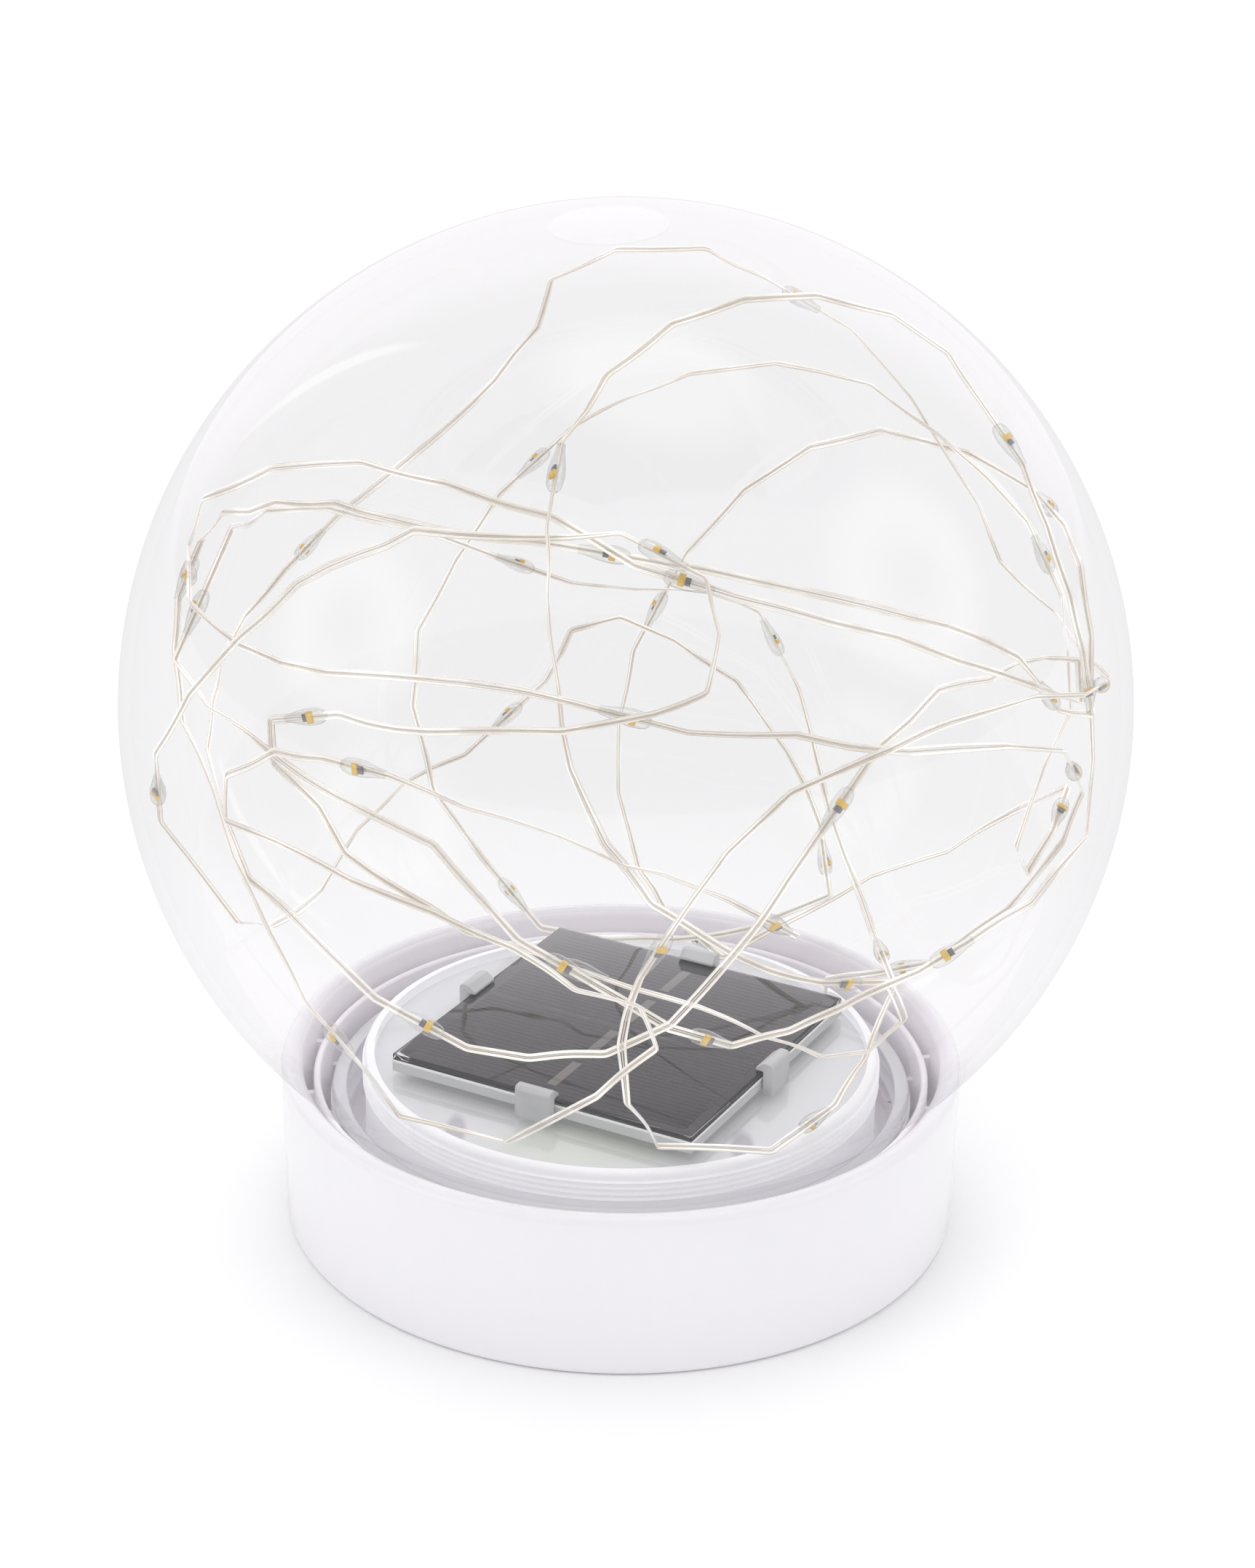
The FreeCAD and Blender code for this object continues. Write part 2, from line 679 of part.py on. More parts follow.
def build_base_shell():
    """White moulded base: rolled skirt, web, stiffening ring, threaded socket and hub."""
    body = new_body("base_shell", turn=first_bearing)
    foot = base_radius - size("skirt_draft")
    lip = size("lip_round")
    foot_round = size("foot_round")
    height = size("base_height")
    half_ring = size("ring_wall") / 2
    ring_top = size("ring_height") - half_ring
    ring_middle = ring_outer - half_ring
    revolve(body, "Shell", [
        arc_from(foot - foot_round, 0, foot_round, (foot - foot_round, foot_round), True),
        corner(foot, foot_round),
        arc_from(base_radius, height - lip, lip, (base_radius - lip, height - lip), True),
        corner(base_radius - lip, height),
        arc_from(skirt_inner + lip, height, lip, (skirt_inner + lip, height - lip), True),
        corner(skirt_inner, height - lip),
        corner(skirt_inner, web_top),
        corner(ring_outer, web_top),
        arc_from(ring_outer, ring_top, half_ring, (ring_middle, ring_top), True),
        arc_from(ring_middle, ring_top + half_ring, half_ring, (ring_middle, ring_top), True),
        corner(ring_inner, ring_top),
        corner(ring_inner, web_top),
        corner(socket_radius, web_top),
        corner(socket_radius, socket_top),
        corner(socket_bore, socket_top),
        corner(socket_bore, web_top),
        corner(hub_inner, web_top),
        corner(hub_inner, hub_foot),
        corner(hub_radius, hub_foot),
        corner(hub_radius, web_under),
        corner(skirt_inner, web_under),
        corner(skirt_inner, 0),
    ])
    helix_ridge(body, "SocketThread", socket_bore + size("thread_bite"),
                socket_bore - size("thread_depth"), web_top + size("thread_start"))
    low = web_top - size("web_thickness") / 2
    inner_top = socket_top - size("rib_drop")
    outer_top = size("ring_height") - size("rib_drop")
    rib = upright_profile(body, "Rib", [
        corner(socket_radius - size("socket_wall") / 2, low),
        corner(skirt_inner + size("skirt_wall") / 2, low),
        corner(skirt_inner + size("skirt_wall") / 2, outer_top),
        corner(ring_middle, outer_top),
        corner(ring_middle, inner_top),
        corner(socket_radius - size("socket_wall") / 2, inner_top),
    ], size("rib_thickness"))
    repeat_round(body, "Ribs", rib, size("rib_count"))
    return body


def build_gasket():
    """Flat silicone ring squeezed between the hub and the bottom cover."""
    body = new_body("cover_gasket")
    revolve(body, "Ring", [
        corner(hub_inner, cover_top),
        corner(hub_radius, cover_top),
        corner(hub_radius, hub_foot),
        corner(hub_inner, hub_foot),
    ])
    return body


def cradle_height():
    """Room over the cover for the button's flange and its travel."""
    return size("button_flange_height") + size("button_travel") + size("running_gap") * 2


def build_cover():
    """Round bottom plate with a guide ring, screw recesses and the switch cradle."""
    body = new_body("bottom_cover", turn=panel_turn)
    bevel = size("edge_bevel")
    revolve(body, "Plate", [
        corner(0, cover_under),
        corner(cover_radius - bevel, cover_under),
        corner(cover_radius, cover_under + bevel),
        corner(cover_radius, cover_top),
        corner(guide_radius, cover_top),
        corner(guide_radius, cover_top + size("guide_height")),
        corner(guide_inner, cover_top + size("guide_height")),
        corner(guide_inner, cover_top),
        corner(0, cover_top),
    ])
    discs(body, "ScrewPads", screw_spots(), size("post_radius"), cover_top, size("pad_height"))
    cradle = sketch_on(body, "XY_Plane", "CradleOutline", cover_top)
    cradle_inner = size("button_flange") + size("running_gap")
    draw_circle(cradle, 0, switch_front, cradle_inner)
    draw_circle(cradle, 0, switch_front, cradle_inner + size("cradle_wall"))
    extrude(body, "Cradle", cradle, cradle_height())
    over = size("overrun")
    hole = size("screw_radius") + size("running_gap")
    through = size("cover_thickness") + size("pad_height") + over * 2
    discs(body, "ScrewHoles", screw_spots(), hole, cover_under - over, through, cut=True)
    recess = size("screw_head_radius") + size("running_gap")
    discs(body, "ScrewRecesses", screw_spots(), recess, cover_under - over,
          size("screw_head_height") + size("screw_gap") + over, cut=True)
    button = [(0, switch_front)]
    opening = size("button_radius") + size("running_gap")
    discs(body, "ButtonHole", button, opening, cover_under - over,
          size("cover_thickness") + over * 2, cut=True)
    discs(body, "BootRecess", button, opening + size("boot_width"), cover_under - over,
          size("boot_thickness") + over, cut=True)
    return body


def build_cover_screws():
    """Three pan-head screws in one group, each with a driver slot."""
    body = new_body("cover_screws", turn=panel_turn)
    body.AllowCompound = True
    under = cover_under + size("screw_gap")
    head_top = under + size("screw_head_height")
    discs(body, "Heads", screw_spots(), size("screw_head_radius"), under, size("screw_head_height"))
    discs(body, "Shanks", screw_spots(), size("screw_radius"), head_top, size("screw_length"))
    slots = sketch_on(body, "XY_Plane", "SlotOutline", under - size("overrun"))
    half_width = size("slot_width") / 2
    half_length = size("screw_head_radius") + size("overrun") / 2
    for across, back in screw_spots():
        draw_outline(slots, rectangle(across - half_length, across + half_length,
                                      back - half_width, back + half_width))
    extrude(body, "Slots", slots, size("slot_depth") + size("overrun"), cut=True, down=True)
    return body


def build_tray():
    """Frosted cup that fills the neck: panel pips, four hook clips, screw and board posts."""
    body = new_body("panel_tray", turn=panel_turn)
    bevel = size("edge_bevel")
    revolve(body, "Cup", [
        corner(0, tray_under),
        corner(tray_inner, tray_under),
        corner(tray_inner, web_top),
        corner(tray_radius, web_top),
        corner(tray_radius, tray_top - bevel),
        corner(tray_radius - bevel, tray_top),
        corner(0, tray_top),
    ])
    sink = size("tray_thickness") / 2
    post_foot = cover_top + size("pad_height") + size("running_gap")
    discs(body, "ScrewPosts", screw_spots(), size("post_radius"), post_foot, tray_under - post_foot + sink)
    discs(body, "BoardPosts", board_screw_spots(), size("board_post_radius"), board_top,
          size("board_drop") + sink)
    over = size("overrun")
    discs(body, "ScrewPilots", screw_spots(), size("screw_radius") + size("screw_gap"),
          post_foot - over, size("screw_length") + over, cut=True)
    discs(body, "BoardPilots", board_screw_spots(), size("board_screw_radius") + size("screw_gap"),
          board_top - over, size("board_drop") + sink + over, cut=True)
    discs(body, "GrommetHole", [grommet_spot()], size("grommet_radius"), tray_under - over,
          size("tray_thickness") + over * 2, cut=True)
    pip = size("pip_width")
    pip_outline = rectangle(panel_half - pip * 2, panel_half - pip, panel_half - pip * 2, panel_half - pip)
    pips = slab(body, "Pip", pip_outline, tray_top - sink, size("pip_height") + sink)
    repeat_round(body, "Pips", pips, 4)
    clip_inner = panel_half + size("clip_gap")
    clip_outer = clip_inner + size("clip_wall")
    clip_tip = panel_half - size("clip_reach")
    hook_under = panel_top + size("seal_gap")
    hook_top = hook_under + size("clip_rise")
    clip = upright_profile(body, "Clip", [
        corner(clip_inner, tray_top - sink),
        corner(clip_outer, tray_top - sink),
        corner(clip_outer, hook_top - bevel),
        corner(clip_outer - bevel, hook_top),
        corner(clip_inner, hook_top),
        corner(clip_tip, hook_under + bevel),
        corner(clip_tip, hook_under),
        corner(clip_inner, hook_under),
    ], size("clip_width"))
    repeat_round(body, "Clips", clip, 4)
    return body


def build_solar_board():
    """Square backing board of the solar panel."""
    body = new_body("solar_board", turn=panel_turn)
    square = rectangle(-panel_half, panel_half, -panel_half, panel_half)
    slab(body, "Board", square, panel_under, size("panel_board"))
    return body


def cell_rows():
    """Front and back edge of each cell strip, from the front edge of the panel backwards."""
    count = int(size("cell_count").number)
    inside = panel_half - size("cell_margin")
    gap = size("cell_gap")
    depth = (inside * 2 - gap * (size("cell_count") - 1)) / size("cell_count")
    return [(-inside + (depth + gap) * row, -inside + (depth + gap) * row + depth) for row in range(count)]


def cell_outlines():
    inside = panel_half - size("cell_margin")
    return [rectangle(-inside, inside, front, back) for front, back in cell_rows()]


def tab_outlines():
    """One length of ribbon on each strip, shorter than the strip is deep."""
    half_width = size("tab_width") / 2
    outlines = []
    for front, back in cell_rows():
        inset = (back - front) * (1 - size("tab_share")) / 2
        outlines.append(rectangle(-half_width, half_width, front + inset, back - inset))
    return outlines


def level_plates(body, name, outlines, height, thickness, cut=False):
    """Several level plates, or pockets, from one sketch."""
    sketch = sketch_on(body, "XY_Plane", name + "Outline", height)
    for outline in outlines:
        draw_outline(sketch, outline)
    return extrude(body, name, sketch, thickness, cut=cut, down=cut)


def build_solar_cells():
    """Thin dark strips that lie across the board."""
    body = new_body("solar_cells", turn=panel_turn)
    body.AllowCompound = True
    level_plates(body, "Strips", cell_outlines(), panel_board_top, size("cell_thickness"))
    return body


def build_cell_tabs():
    """Tinned ribbon that joins the strips, in one line over the middle."""
    body = new_body("cell_tabs", turn=panel_turn)
    body.AllowCompound = True
    height = panel_board_top + size("cell_thickness")
    level_plates(body, "Ribbons", tab_outlines(), height, size("tab_thickness"))
    return body


def build_panel_resin():
    """Clear resin cast over the strips and ribbon, flush with the board's edge."""
    body = new_body("panel_resin", turn=panel_turn)
    square = rectangle(-panel_half, panel_half, -panel_half, panel_half)
    slab(body, "Casting", square, panel_board_top, size("panel_resin"))
    bevel_top(body, "EdgeBevel", size("panel_edge"))
    level_plates(body, "StripRoom", cell_outlines(), panel_board_top, size("cell_thickness"), cut=True)
    ribbon_top = size("cell_thickness") + size("tab_thickness")
    level_plates(body, "RibbonRoom", tab_outlines(), panel_board_top, ribbon_top, cut=True)
    return body


def build_grommet():
    """Soft bush in the tray that the light string comes up through."""
    across, back = panel_place(*grommet_spot())
    body = new_body("wire_grommet", across=across, back=back)
    stem = size("grommet_radius") - size("seal_gap")
    rise = tray_top + size("grommet_rise")
    shoulder = size("grommet_rise") / 2
    revolve(body, "Bush", [
        corner(0, tray_under),
        corner(stem, tray_under),
        corner(stem, tray_top),
        corner(size("grommet_flange"), tray_top),
        corner(size("grommet_flange"), rise - shoulder),
        corner(size("grommet_flange") - shoulder, rise),
        corner(0, rise),
    ])
    return body


def build_circuit_board():
    """Charge and flash board, cut to fit round a screw post, hung under the tray."""
    body = new_body("circuit_board", turn=panel_turn)
    half = size("board_half")
    slab(body, "Board", [
        corner(-half, size("board_back")),
        corner(-half, size("board_front")),
        corner(size("board_tip_left"), size("board_front")),
        corner(size("board_tip_left"), size("board_tip")),
        corner(size("board_tip_right"), size("board_tip")),
        corner(half, size("board_front")),
        corner(half, size("board_back")),
    ], board_under, size("board_thickness"))
    over = size("overrun")
    discs(body, "ScrewHoles", board_screw_spots(), size("board_screw_radius") + size("screw_gap"),
          board_under - over, size("board_thickness") + over * 2, cut=True)
    return body


def build_board_screws():
    """Two small screws in one group that hold the circuit board to its posts."""
    body = new_body("board_screws", turn=panel_turn)
    body.AllowCompound = True
    head = size("board_screw_head_height")
    discs(body, "Heads", board_screw_spots(), size("board_screw_head"), board_under - head, head)
    reach = size("board_thickness") + size("board_drop")
    discs(body, "Shanks", board_screw_spots(), size("board_screw_radius"), board_under, reach)
    return body


def build_switch_body():
    """Latching push switch: a square case with a plunger bore below and two legs above."""
    across, back = panel_place(0, switch_front)
    body = new_body("switch_body", across=across, back=back, turn=panel_turn)
    half = size("switch_width") / 2
    under = cover_top + cradle_height()
    case = size("switch_body_height")
    slab(body, "Case", rectangle(-half, half, -half, half), under, case)
    bevel_top(body, "CaseBevel", size("edge_bevel"))
    leg = half / 4
    legs = [rectangle(-half + leg, -half + leg * 2, -leg, leg),
            rectangle(half - leg * 2, half - leg, -leg, leg)]
    level_plates(body, "Legs", legs, under + case - leg, leg * 2)
    bore = size("plunger_radius") + size("running_gap")
    depth = size("plunger_length") + size("running_gap")
    over = size("overrun")
    discs(body, "PlungerBore", [(0, 0)], bore, under - over, depth + over, cut=True)
    return body


def build_button():
    """Push button: a dished cap in the cover, a retaining flange and a plunger."""
    across, back = panel_place(0, switch_front)
    body = new_body("switch_button", across=across, back=back)
    bevel = size("edge_bevel")
    under = cover_under - size("button_recess")
    flange_under = cover_top + size("running_gap")
    flange_top = flange_under + size("button_flange_height")
    dish = size("button_radius") - bevel * 2
    revolve(body, "Cap", [
        corner(0, under + bevel),
        corner(dish, under),
        corner(size("button_radius") - bevel, under),
        corner(size("button_radius"), under + bevel),
        corner(size("button_radius"), flange_under),
        corner(size("button_flange"), flange_under),
        corner(size("button_flange"), flange_top),
        corner(size("plunger_radius"), flange_top),
        corner(size("plunger_radius"), flange_top + size("plunger_length")),
        corner(0, flange_top + size("plunger_length")),
    ])
    return body


def build_button_boot():
    """Silicone ring in the cover's recess, round the button."""
    across, back = panel_place(0, switch_front)
    body = new_body("button_boot", across=across, back=back)
    inside = size("button_radius") + size("running_gap")
    outside = inside + size("boot_width") - size("seal_gap")
    top = cover_under + size("boot_thickness")
    shoulder = size("boot_thickness") / 2
    revolve(body, "Ring", [
        corner(inside, cover_under),
        corner(outside - shoulder, cover_under),
        corner(outside, cover_under + shoulder),
        corner(outside, top),
        corner(inside, top),
    ])
    return body


def holder_half():
    """Half of the room inside the battery holder, along the battery."""
    battery = size("battery_length") + size("battery_nub_length")
    return (size("spring_room") + battery + size("plate_thickness")) / 2


def battery_axis():
    return cover_top + size("holder_floor") + size("battery_gap") + size("battery_radius")


def build_battery_holder():
    """Open trough on the cover that the battery drops into, notched for the fingers."""
    across, back = panel_place(0, size("battery_back"))
    body = new_body("battery_holder", across=across, back=back, turn=panel_turn)
    inner = holder_half()
    outer = inner + size("holder_wall")
    inner_side = size("battery_radius") + size("battery_gap")
    outer_side = inner_side + size("holder_wall")
    floor_top = cover_top + size("holder_floor")
    over = size("overrun")
    slab(body, "Block", rectangle(-outer, outer, -outer_side, outer_side), cover_top,
         size("holder_floor") + size("holder_side"))
    slab(body, "Trough", rectangle(-inner, inner, -inner_side, inner_side), floor_top,
         size("holder_side") + over, cut=True)
    notch = inner / 3
    slab(body, "FingerNotch", rectangle(-notch, notch, -outer_side - over, outer_side + over),
         floor_top + size("holder_side") / 2, size("holder_side") + over, cut=True)
    return body


def build_battery():
    """Rechargeable AA cell, lying on its side with its nub to the right."""
    across, back = panel_place(0, size("battery_back"))
    body = new_body("battery_cell", height=battery_axis(), across=across, back=back, turn=panel_turn)
    start = size("spring_room") - holder_half()
    end = start + size("battery_length")
    tip = end + size("battery_nub_length")
    bevel = size("edge_bevel")
    radius = size("battery_radius")
    nub = size("battery_nub_radius")
    sketch = sketch_on(body, "XY_Plane", "CellOutline")
    draw_outline(sketch, [
        corner(start, 0),
        corner(tip, 0),
        corner(tip, nub),
        corner(end, nub),
        corner(end, radius - bevel),
        corner(end - bevel, radius),
        corner(start + bevel, radius),
        corner(start, radius - bevel),
    ])
    feature = body.newObject("PartDesign::Revolution", "Cell")
    feature.Profile = sketch
    feature.ReferenceAxis = (sketch, ["H_Axis"])
    feature.Angle = 360
    doc.recompute()
    return body


def build_battery_plate():
    """Flat contact on the holder's end wall, behind the nub."""
    across, back = panel_place(0, size("battery_back"))
    body = new_body("battery_plate", across=across, back=back, turn=panel_turn)
    half = size("plate_width") / 2
    end = holder_half()
    floor_top = cover_top + size("holder_floor")
    outline = rectangle(end - size("plate_thickness"), end, -half, half)
    slab(body, "Plate", outline, floor_top, size("holder_side") + size("plate_thickness") * 2)
    return body


def build_under_part(label, across, back, shape):
    """A component soldered under the circuit board; its shape hangs from the board's face."""
    spot = panel_place(as_size(across), as_size(back))
    body = new_body(label, height=board_under, across=spot[0], back=spot[1], turn=panel_turn)
    shape(body)
    return body


def build_driver_chip():
    """Moulded eight-leg chip with its legs on the board's face."""
    def shape(body):
        half_length = size("chip_case_length") / 2
        half_width = size("chip_case_width") / 2
        case = size("chip_case_height")
        lift = case / 5
        outline = rectangle(-half_length, half_length, -half_width, half_width)
        slab(body, "Case", outline, -case - lift, case)
        foot = half_length / 4
        legs = []
        for number in range(4):
            left = -half_length + foot / 2 + foot * 2 * number
            legs.append(rectangle(left, left + foot, -half_width - foot * 2, half_width + foot * 2))
        level_plates(body, "Legs", legs, -lift * 2, lift * 2)
    return build_under_part("driver_chip", size("chip_case_across"), size("chip_case_front"), shape)


def build_power_coil():
    """Drum coil: two flanges and a waist full of wire."""
    def shape(body):
        radius = size("coil_radius")
        tall = size("coil_height")
        flange = tall / 5
        waist = radius * COIL_WAIST_SHARE
        revolve(body, "Drum", [
            corner(0, -tall),
            corner(radius, -tall),
            corner(radius, -tall + flange),
            corner(waist, -tall + flange),
            corner(waist, -flange),
            corner(radius, -flange),
            corner(radius, 0),
            corner(0, 0),
        ])
    return build_under_part("power_coil", size("coil_across"), size("coil_front"), shape)


def build_capacitor():
    """Small can with the rolled neck above its bung."""
    def shape(body):
        radius = size("capacitor_radius")
        tall = size("capacitor_height")
        groove = radius / 8
        bevel = radius / 6
        neck = tall / 5
        revolve(body, "Can", [
            corner(0, -tall),
            corner(radius - bevel, -tall),
            corner(radius, -tall + bevel),
            corner(radius, -neck - groove),
            corner(radius - groove, -neck),
            corner(radius, -neck + groove),
            corner(radius, 0),
            corner(0, 0),
        ])
    return build_under_part("capacitor", size("capacitor_across"), size("capacitor_front"), shape)


def add_shape(label, shape, placement=None):
    """A part whose shape is worked out point by point."""
    item = doc.addObject("Part::Feature", label)
    item.Label = label
    item.Shape = shape
    if placement:
        item.Placement = placement
    return item


def flat_sided_ring(radius, sides):
    """An even polygon about the Z axis, with its corners on the radius."""
    corners = []
    for number in range(sides + 1):
        bearing = 2 * math.pi * number / sides
        corners.append(Vector(radius * math.cos(bearing), radius * math.sin(bearing), 0))
    return Part.makePolygon(corners)


def pipe_along(path, ring):
    """A solid that follows a path from its first point, with the ring as its section."""
    first = path.Edges[0]
    start = first.valueAt(first.FirstParameter)
    heading = first.tangentAt(first.FirstParameter)
    ring.Placement = Placement(start, Rotation(Vector(0, 0, 1), heading))
    return path.makePipeShell([ring], True, False)


def build_battery_spring():
    """Coil spring between the holder's end wall and the battery's flat end."""
    wire = size("spring_wire").number
    length = size("spring_room").number - wire * 2 - size("seal_gap").number
    turns = size("spring_turns").number
    helix = Part.makeHelix(length / turns, length, size("spring_radius").number)
    coil = pipe_along(Part.Wire(helix.Edges), flat_sided_ring(wire, WIRE_SIDES))
    across, back = panel_place(0, size("battery_back"))
    seat = Placement(Vector(across.number, back.number, battery_axis().number),
                     Rotation(Vector(0, 0, 1), panel_turn.number))
    end = Placement(Vector(wire - holder_half().number, 0, 0), Rotation(Vector(0, 1, 0), 90))
    return add_shape("battery_spring", coil, seat.multiply(end))


def route_point(bearing, latitude, share):
    """A point of the light string from its bearing, its latitude and its share of the reach."""
    reach = (size("globe_radius").number - size("globe_wall").number) * share
    level = reach * math.cos(math.radians(latitude))
    height = globe_middle.number + reach * math.sin(math.radians(latitude))
    return Vector(level * math.cos(math.radians(bearing)), level * math.sin(math.radians(bearing)), height)


def route_points():
    """The light string's corners, from the top of its grommet to its free end."""
    across, back = panel_place(*grommet_spot())
    foot = Vector(across.number, back.number, tray_top.number + size("grommet_rise").number)
    points = [foot, foot + Vector(0, 0, size("lead_rise").number)]
    for bearing, latitude, share in ROUTE_SHARES:
        points.append(route_point(bearing, latitude, share))
    return points


def rounded_route(points):
    """Straight runs joined by tangent arcs, each as large as its two runs allow."""
    edges = []
    radii = []
    start = points[0]
    for before, here, after in zip(points, points[1:], points[2:]):
        heading_in = (here - before).normalize()
        heading_out = (after - here).normalize()
        turn = heading_in.getAngle(heading_out)
        trim = ARC_SHARE * min((here - before).Length, (after - here).Length)
        radius = trim / math.tan(turn / 2)
        arc_start = here - heading_in * trim
        arc_end = here + heading_out * trim
        inward = (heading_out - heading_in).normalize()
        middle = here + inward * (radius / math.cos(turn / 2) - radius)
        edges.append(Part.LineSegment(start, arc_start).toShape())
        edges.append(Part.Arc(arc_start, middle, arc_end).toShape())
        radii.append(radius)
        start = arc_end
    edges.append(Part.LineSegment(start, points[-1]).toShape())
    return Part.Wire(edges), radii


def drop_shape():
    """A cast drop about the X axis, tapered from its widest ring to a neck at both ends."""
    length = size("drop_length").number
    neck = size("drop_neck_radius").number
    back = -length * DROP_WIDEST_SHARE
    level = Rotation(Vector(0, 1, 0), 90).multiply(Rotation(Vector(0, 0, 1), 180 / DROP_SIDES))
    rings = []
    for along, radius in ((back, neck), (0, size("drop_radius").number), (length + back, neck)):
        ring = flat_sided_ring(radius, DROP_SIDES)
        ring.Placement = Placement(Vector(along, 0, 0), level)
        rings.append(ring)
    return Part.makeLoft(rings, True, True)


def chip_shape():
    """The light chip of a drop, beside the wire."""
    length = size("chip_length").number
    width = size("chip_width").number
    height = size("chip_height").number
    corner_point = Vector(-length / 2, -width / 2, size("wire_radius").number + CHIP_LIFT_SHARE * height)
    return Part.makeBox(length, width, height, corner_point)


def drop_places():
    """Where the drops sit: the middle of their runs, in line with them."""
    points = route_points()
    places = []
    for run in DROP_RUN_COUNTS:
        start = points[run]
        end = points[run + 1]
        places.append(Placement((start + end) * 0.5, Rotation(Vector(1, 0, 0), end - start)))
    return places


def build_light_string():
    """The twin wire as one tube, the drops cast around it and the chips inside them."""
    path, radii = rounded_route(route_points())
    radius = size("wire_radius").number
    wire = pipe_along(path, flat_sided_ring(radius, WIRE_SIDES))
    drops = []
    chips = []
    for place_here in drop_places():
        for pieces, piece in ((drops, drop_shape()), (chips, chip_shape())):
            piece.Placement = place_here
            pieces.append(piece)
    report_string(path, radii, wire, radius)
    return [add_shape("light_wire", wire),
            add_shape("light_drops", Part.makeCompound(drops)),
            add_shape("light_chips", Part.makeCompound(chips))]


def report_string(path, radii, wire, radius):
    """Prints the string's length, its arc radii and its volume beside section times length."""
    section = WIRE_SIDES / 2 * radius ** 2 * math.sin(2 * math.pi / WIRE_SIDES)
    print("light string length", round(path.Length, 1), "drops", len(DROP_RUN_COUNTS))
    print("arc radii", [round(value, 1) for value in radii])
    print("volume", round(wire.Volume, 1), "section times length", round(section * path.Length, 1))


BUILDERS = (
    build_base_shell, build_cover, build_gasket, build_cover_screws, build_tray,
    build_solar_board, build_solar_cells, build_cell_tabs, build_panel_resin,
    build_circuit_board, build_board_screws, build_driver_chip, build_power_coil, build_capacitor,
    build_battery_holder, build_battery, build_battery_spring, build_battery_plate,
    build_switch_body, build_button, build_button_boot, build_grommet,
    build_neck_seal, build_globe, build_label,
)


def check_document():
    """Stops if any object of the document failed."""
    for item in doc.Objects:
        if "Invalid" in item.State or "Error" in item.State:
            raise RuntimeError(f"{item.Label} is {item.State}")


def write_part(item):
    """Writes one sub-part to its own file."""
    shape = item.Shape
    if shape.isNull() or not shape.isValid():
        raise RuntimeError(f"{item.Label} has no valid shape")
    shape.exportStep(os.path.join("parts", item.Label + ".step"))


parts = [build() for build in BUILDERS]
parts += build_light_string()
doc.recompute()
check_document()
os.makedirs("parts", exist_ok=True)
for item in parts:
    write_part(item)
print("sub-parts", len(parts))
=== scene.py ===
import math
import random

import bpy
from mathutils import Matrix, Quaternion, Vector
from mathutils.kdtree import KDTree


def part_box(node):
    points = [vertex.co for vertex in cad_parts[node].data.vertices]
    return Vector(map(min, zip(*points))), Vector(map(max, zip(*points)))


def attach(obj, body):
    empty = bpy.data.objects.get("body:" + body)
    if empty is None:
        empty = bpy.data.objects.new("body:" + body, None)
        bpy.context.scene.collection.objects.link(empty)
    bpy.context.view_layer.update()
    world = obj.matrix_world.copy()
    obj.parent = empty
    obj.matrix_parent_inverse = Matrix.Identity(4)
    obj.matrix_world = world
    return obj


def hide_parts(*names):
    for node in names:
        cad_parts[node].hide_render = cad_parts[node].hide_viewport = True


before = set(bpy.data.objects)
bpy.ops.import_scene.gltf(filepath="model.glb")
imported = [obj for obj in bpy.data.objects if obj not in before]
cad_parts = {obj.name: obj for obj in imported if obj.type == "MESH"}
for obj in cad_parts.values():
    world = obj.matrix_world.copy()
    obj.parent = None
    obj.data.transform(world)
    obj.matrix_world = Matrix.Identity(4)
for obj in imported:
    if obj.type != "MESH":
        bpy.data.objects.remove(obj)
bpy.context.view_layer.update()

# Camera: stands in front of the light and looks down at it, at the photograph's angle. It aims a little
# under the middle of the globe and leans by less than a degree. The lens is for a picture 1725 by 2156.
camera_distance = 0.48305
camera_height_angle = math.radians(21.8)
camera_lean = math.radians(0.81)
camera_aim = Vector((0.0004, -0.0043, 0.0727))
sensor_height = 36.0
focal_length = 74.166
globe_radius = 0.0750
globe_middle = Vector((0, 0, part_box("globe")[1].z - globe_radius))

camera_data = bpy.data.cameras.new("camera")
camera_data.sensor_fit = "VERTICAL"
camera_data.sensor_height = sensor_height
camera_data.lens = focal_length
camera_data.clip_start = 0.01
camera = bpy.data.objects.new("camera", camera_data)
bpy.context.collection.objects.link(camera)
level = camera_distance * math.cos(camera_height_angle)
rise = camera_distance * math.sin(camera_height_angle)
camera.location = globe_middle + Vector((0, -level, rise))
looking = (camera_aim - camera.location).to_track_quat("-Z", "Y")
camera.rotation_mode = "QUATERNION"
camera.rotation_quaternion = looking @ Quaternion((0, 0, 1), camera_lean)
bpy.context.scene.camera = camera
bpy.context.scene.view_settings.view_transform = "Standard"
bpy.context.scene.cycles.transparent_max_bounces = 32
bpy.context.scene.cycles.diffuse_bounces = 6


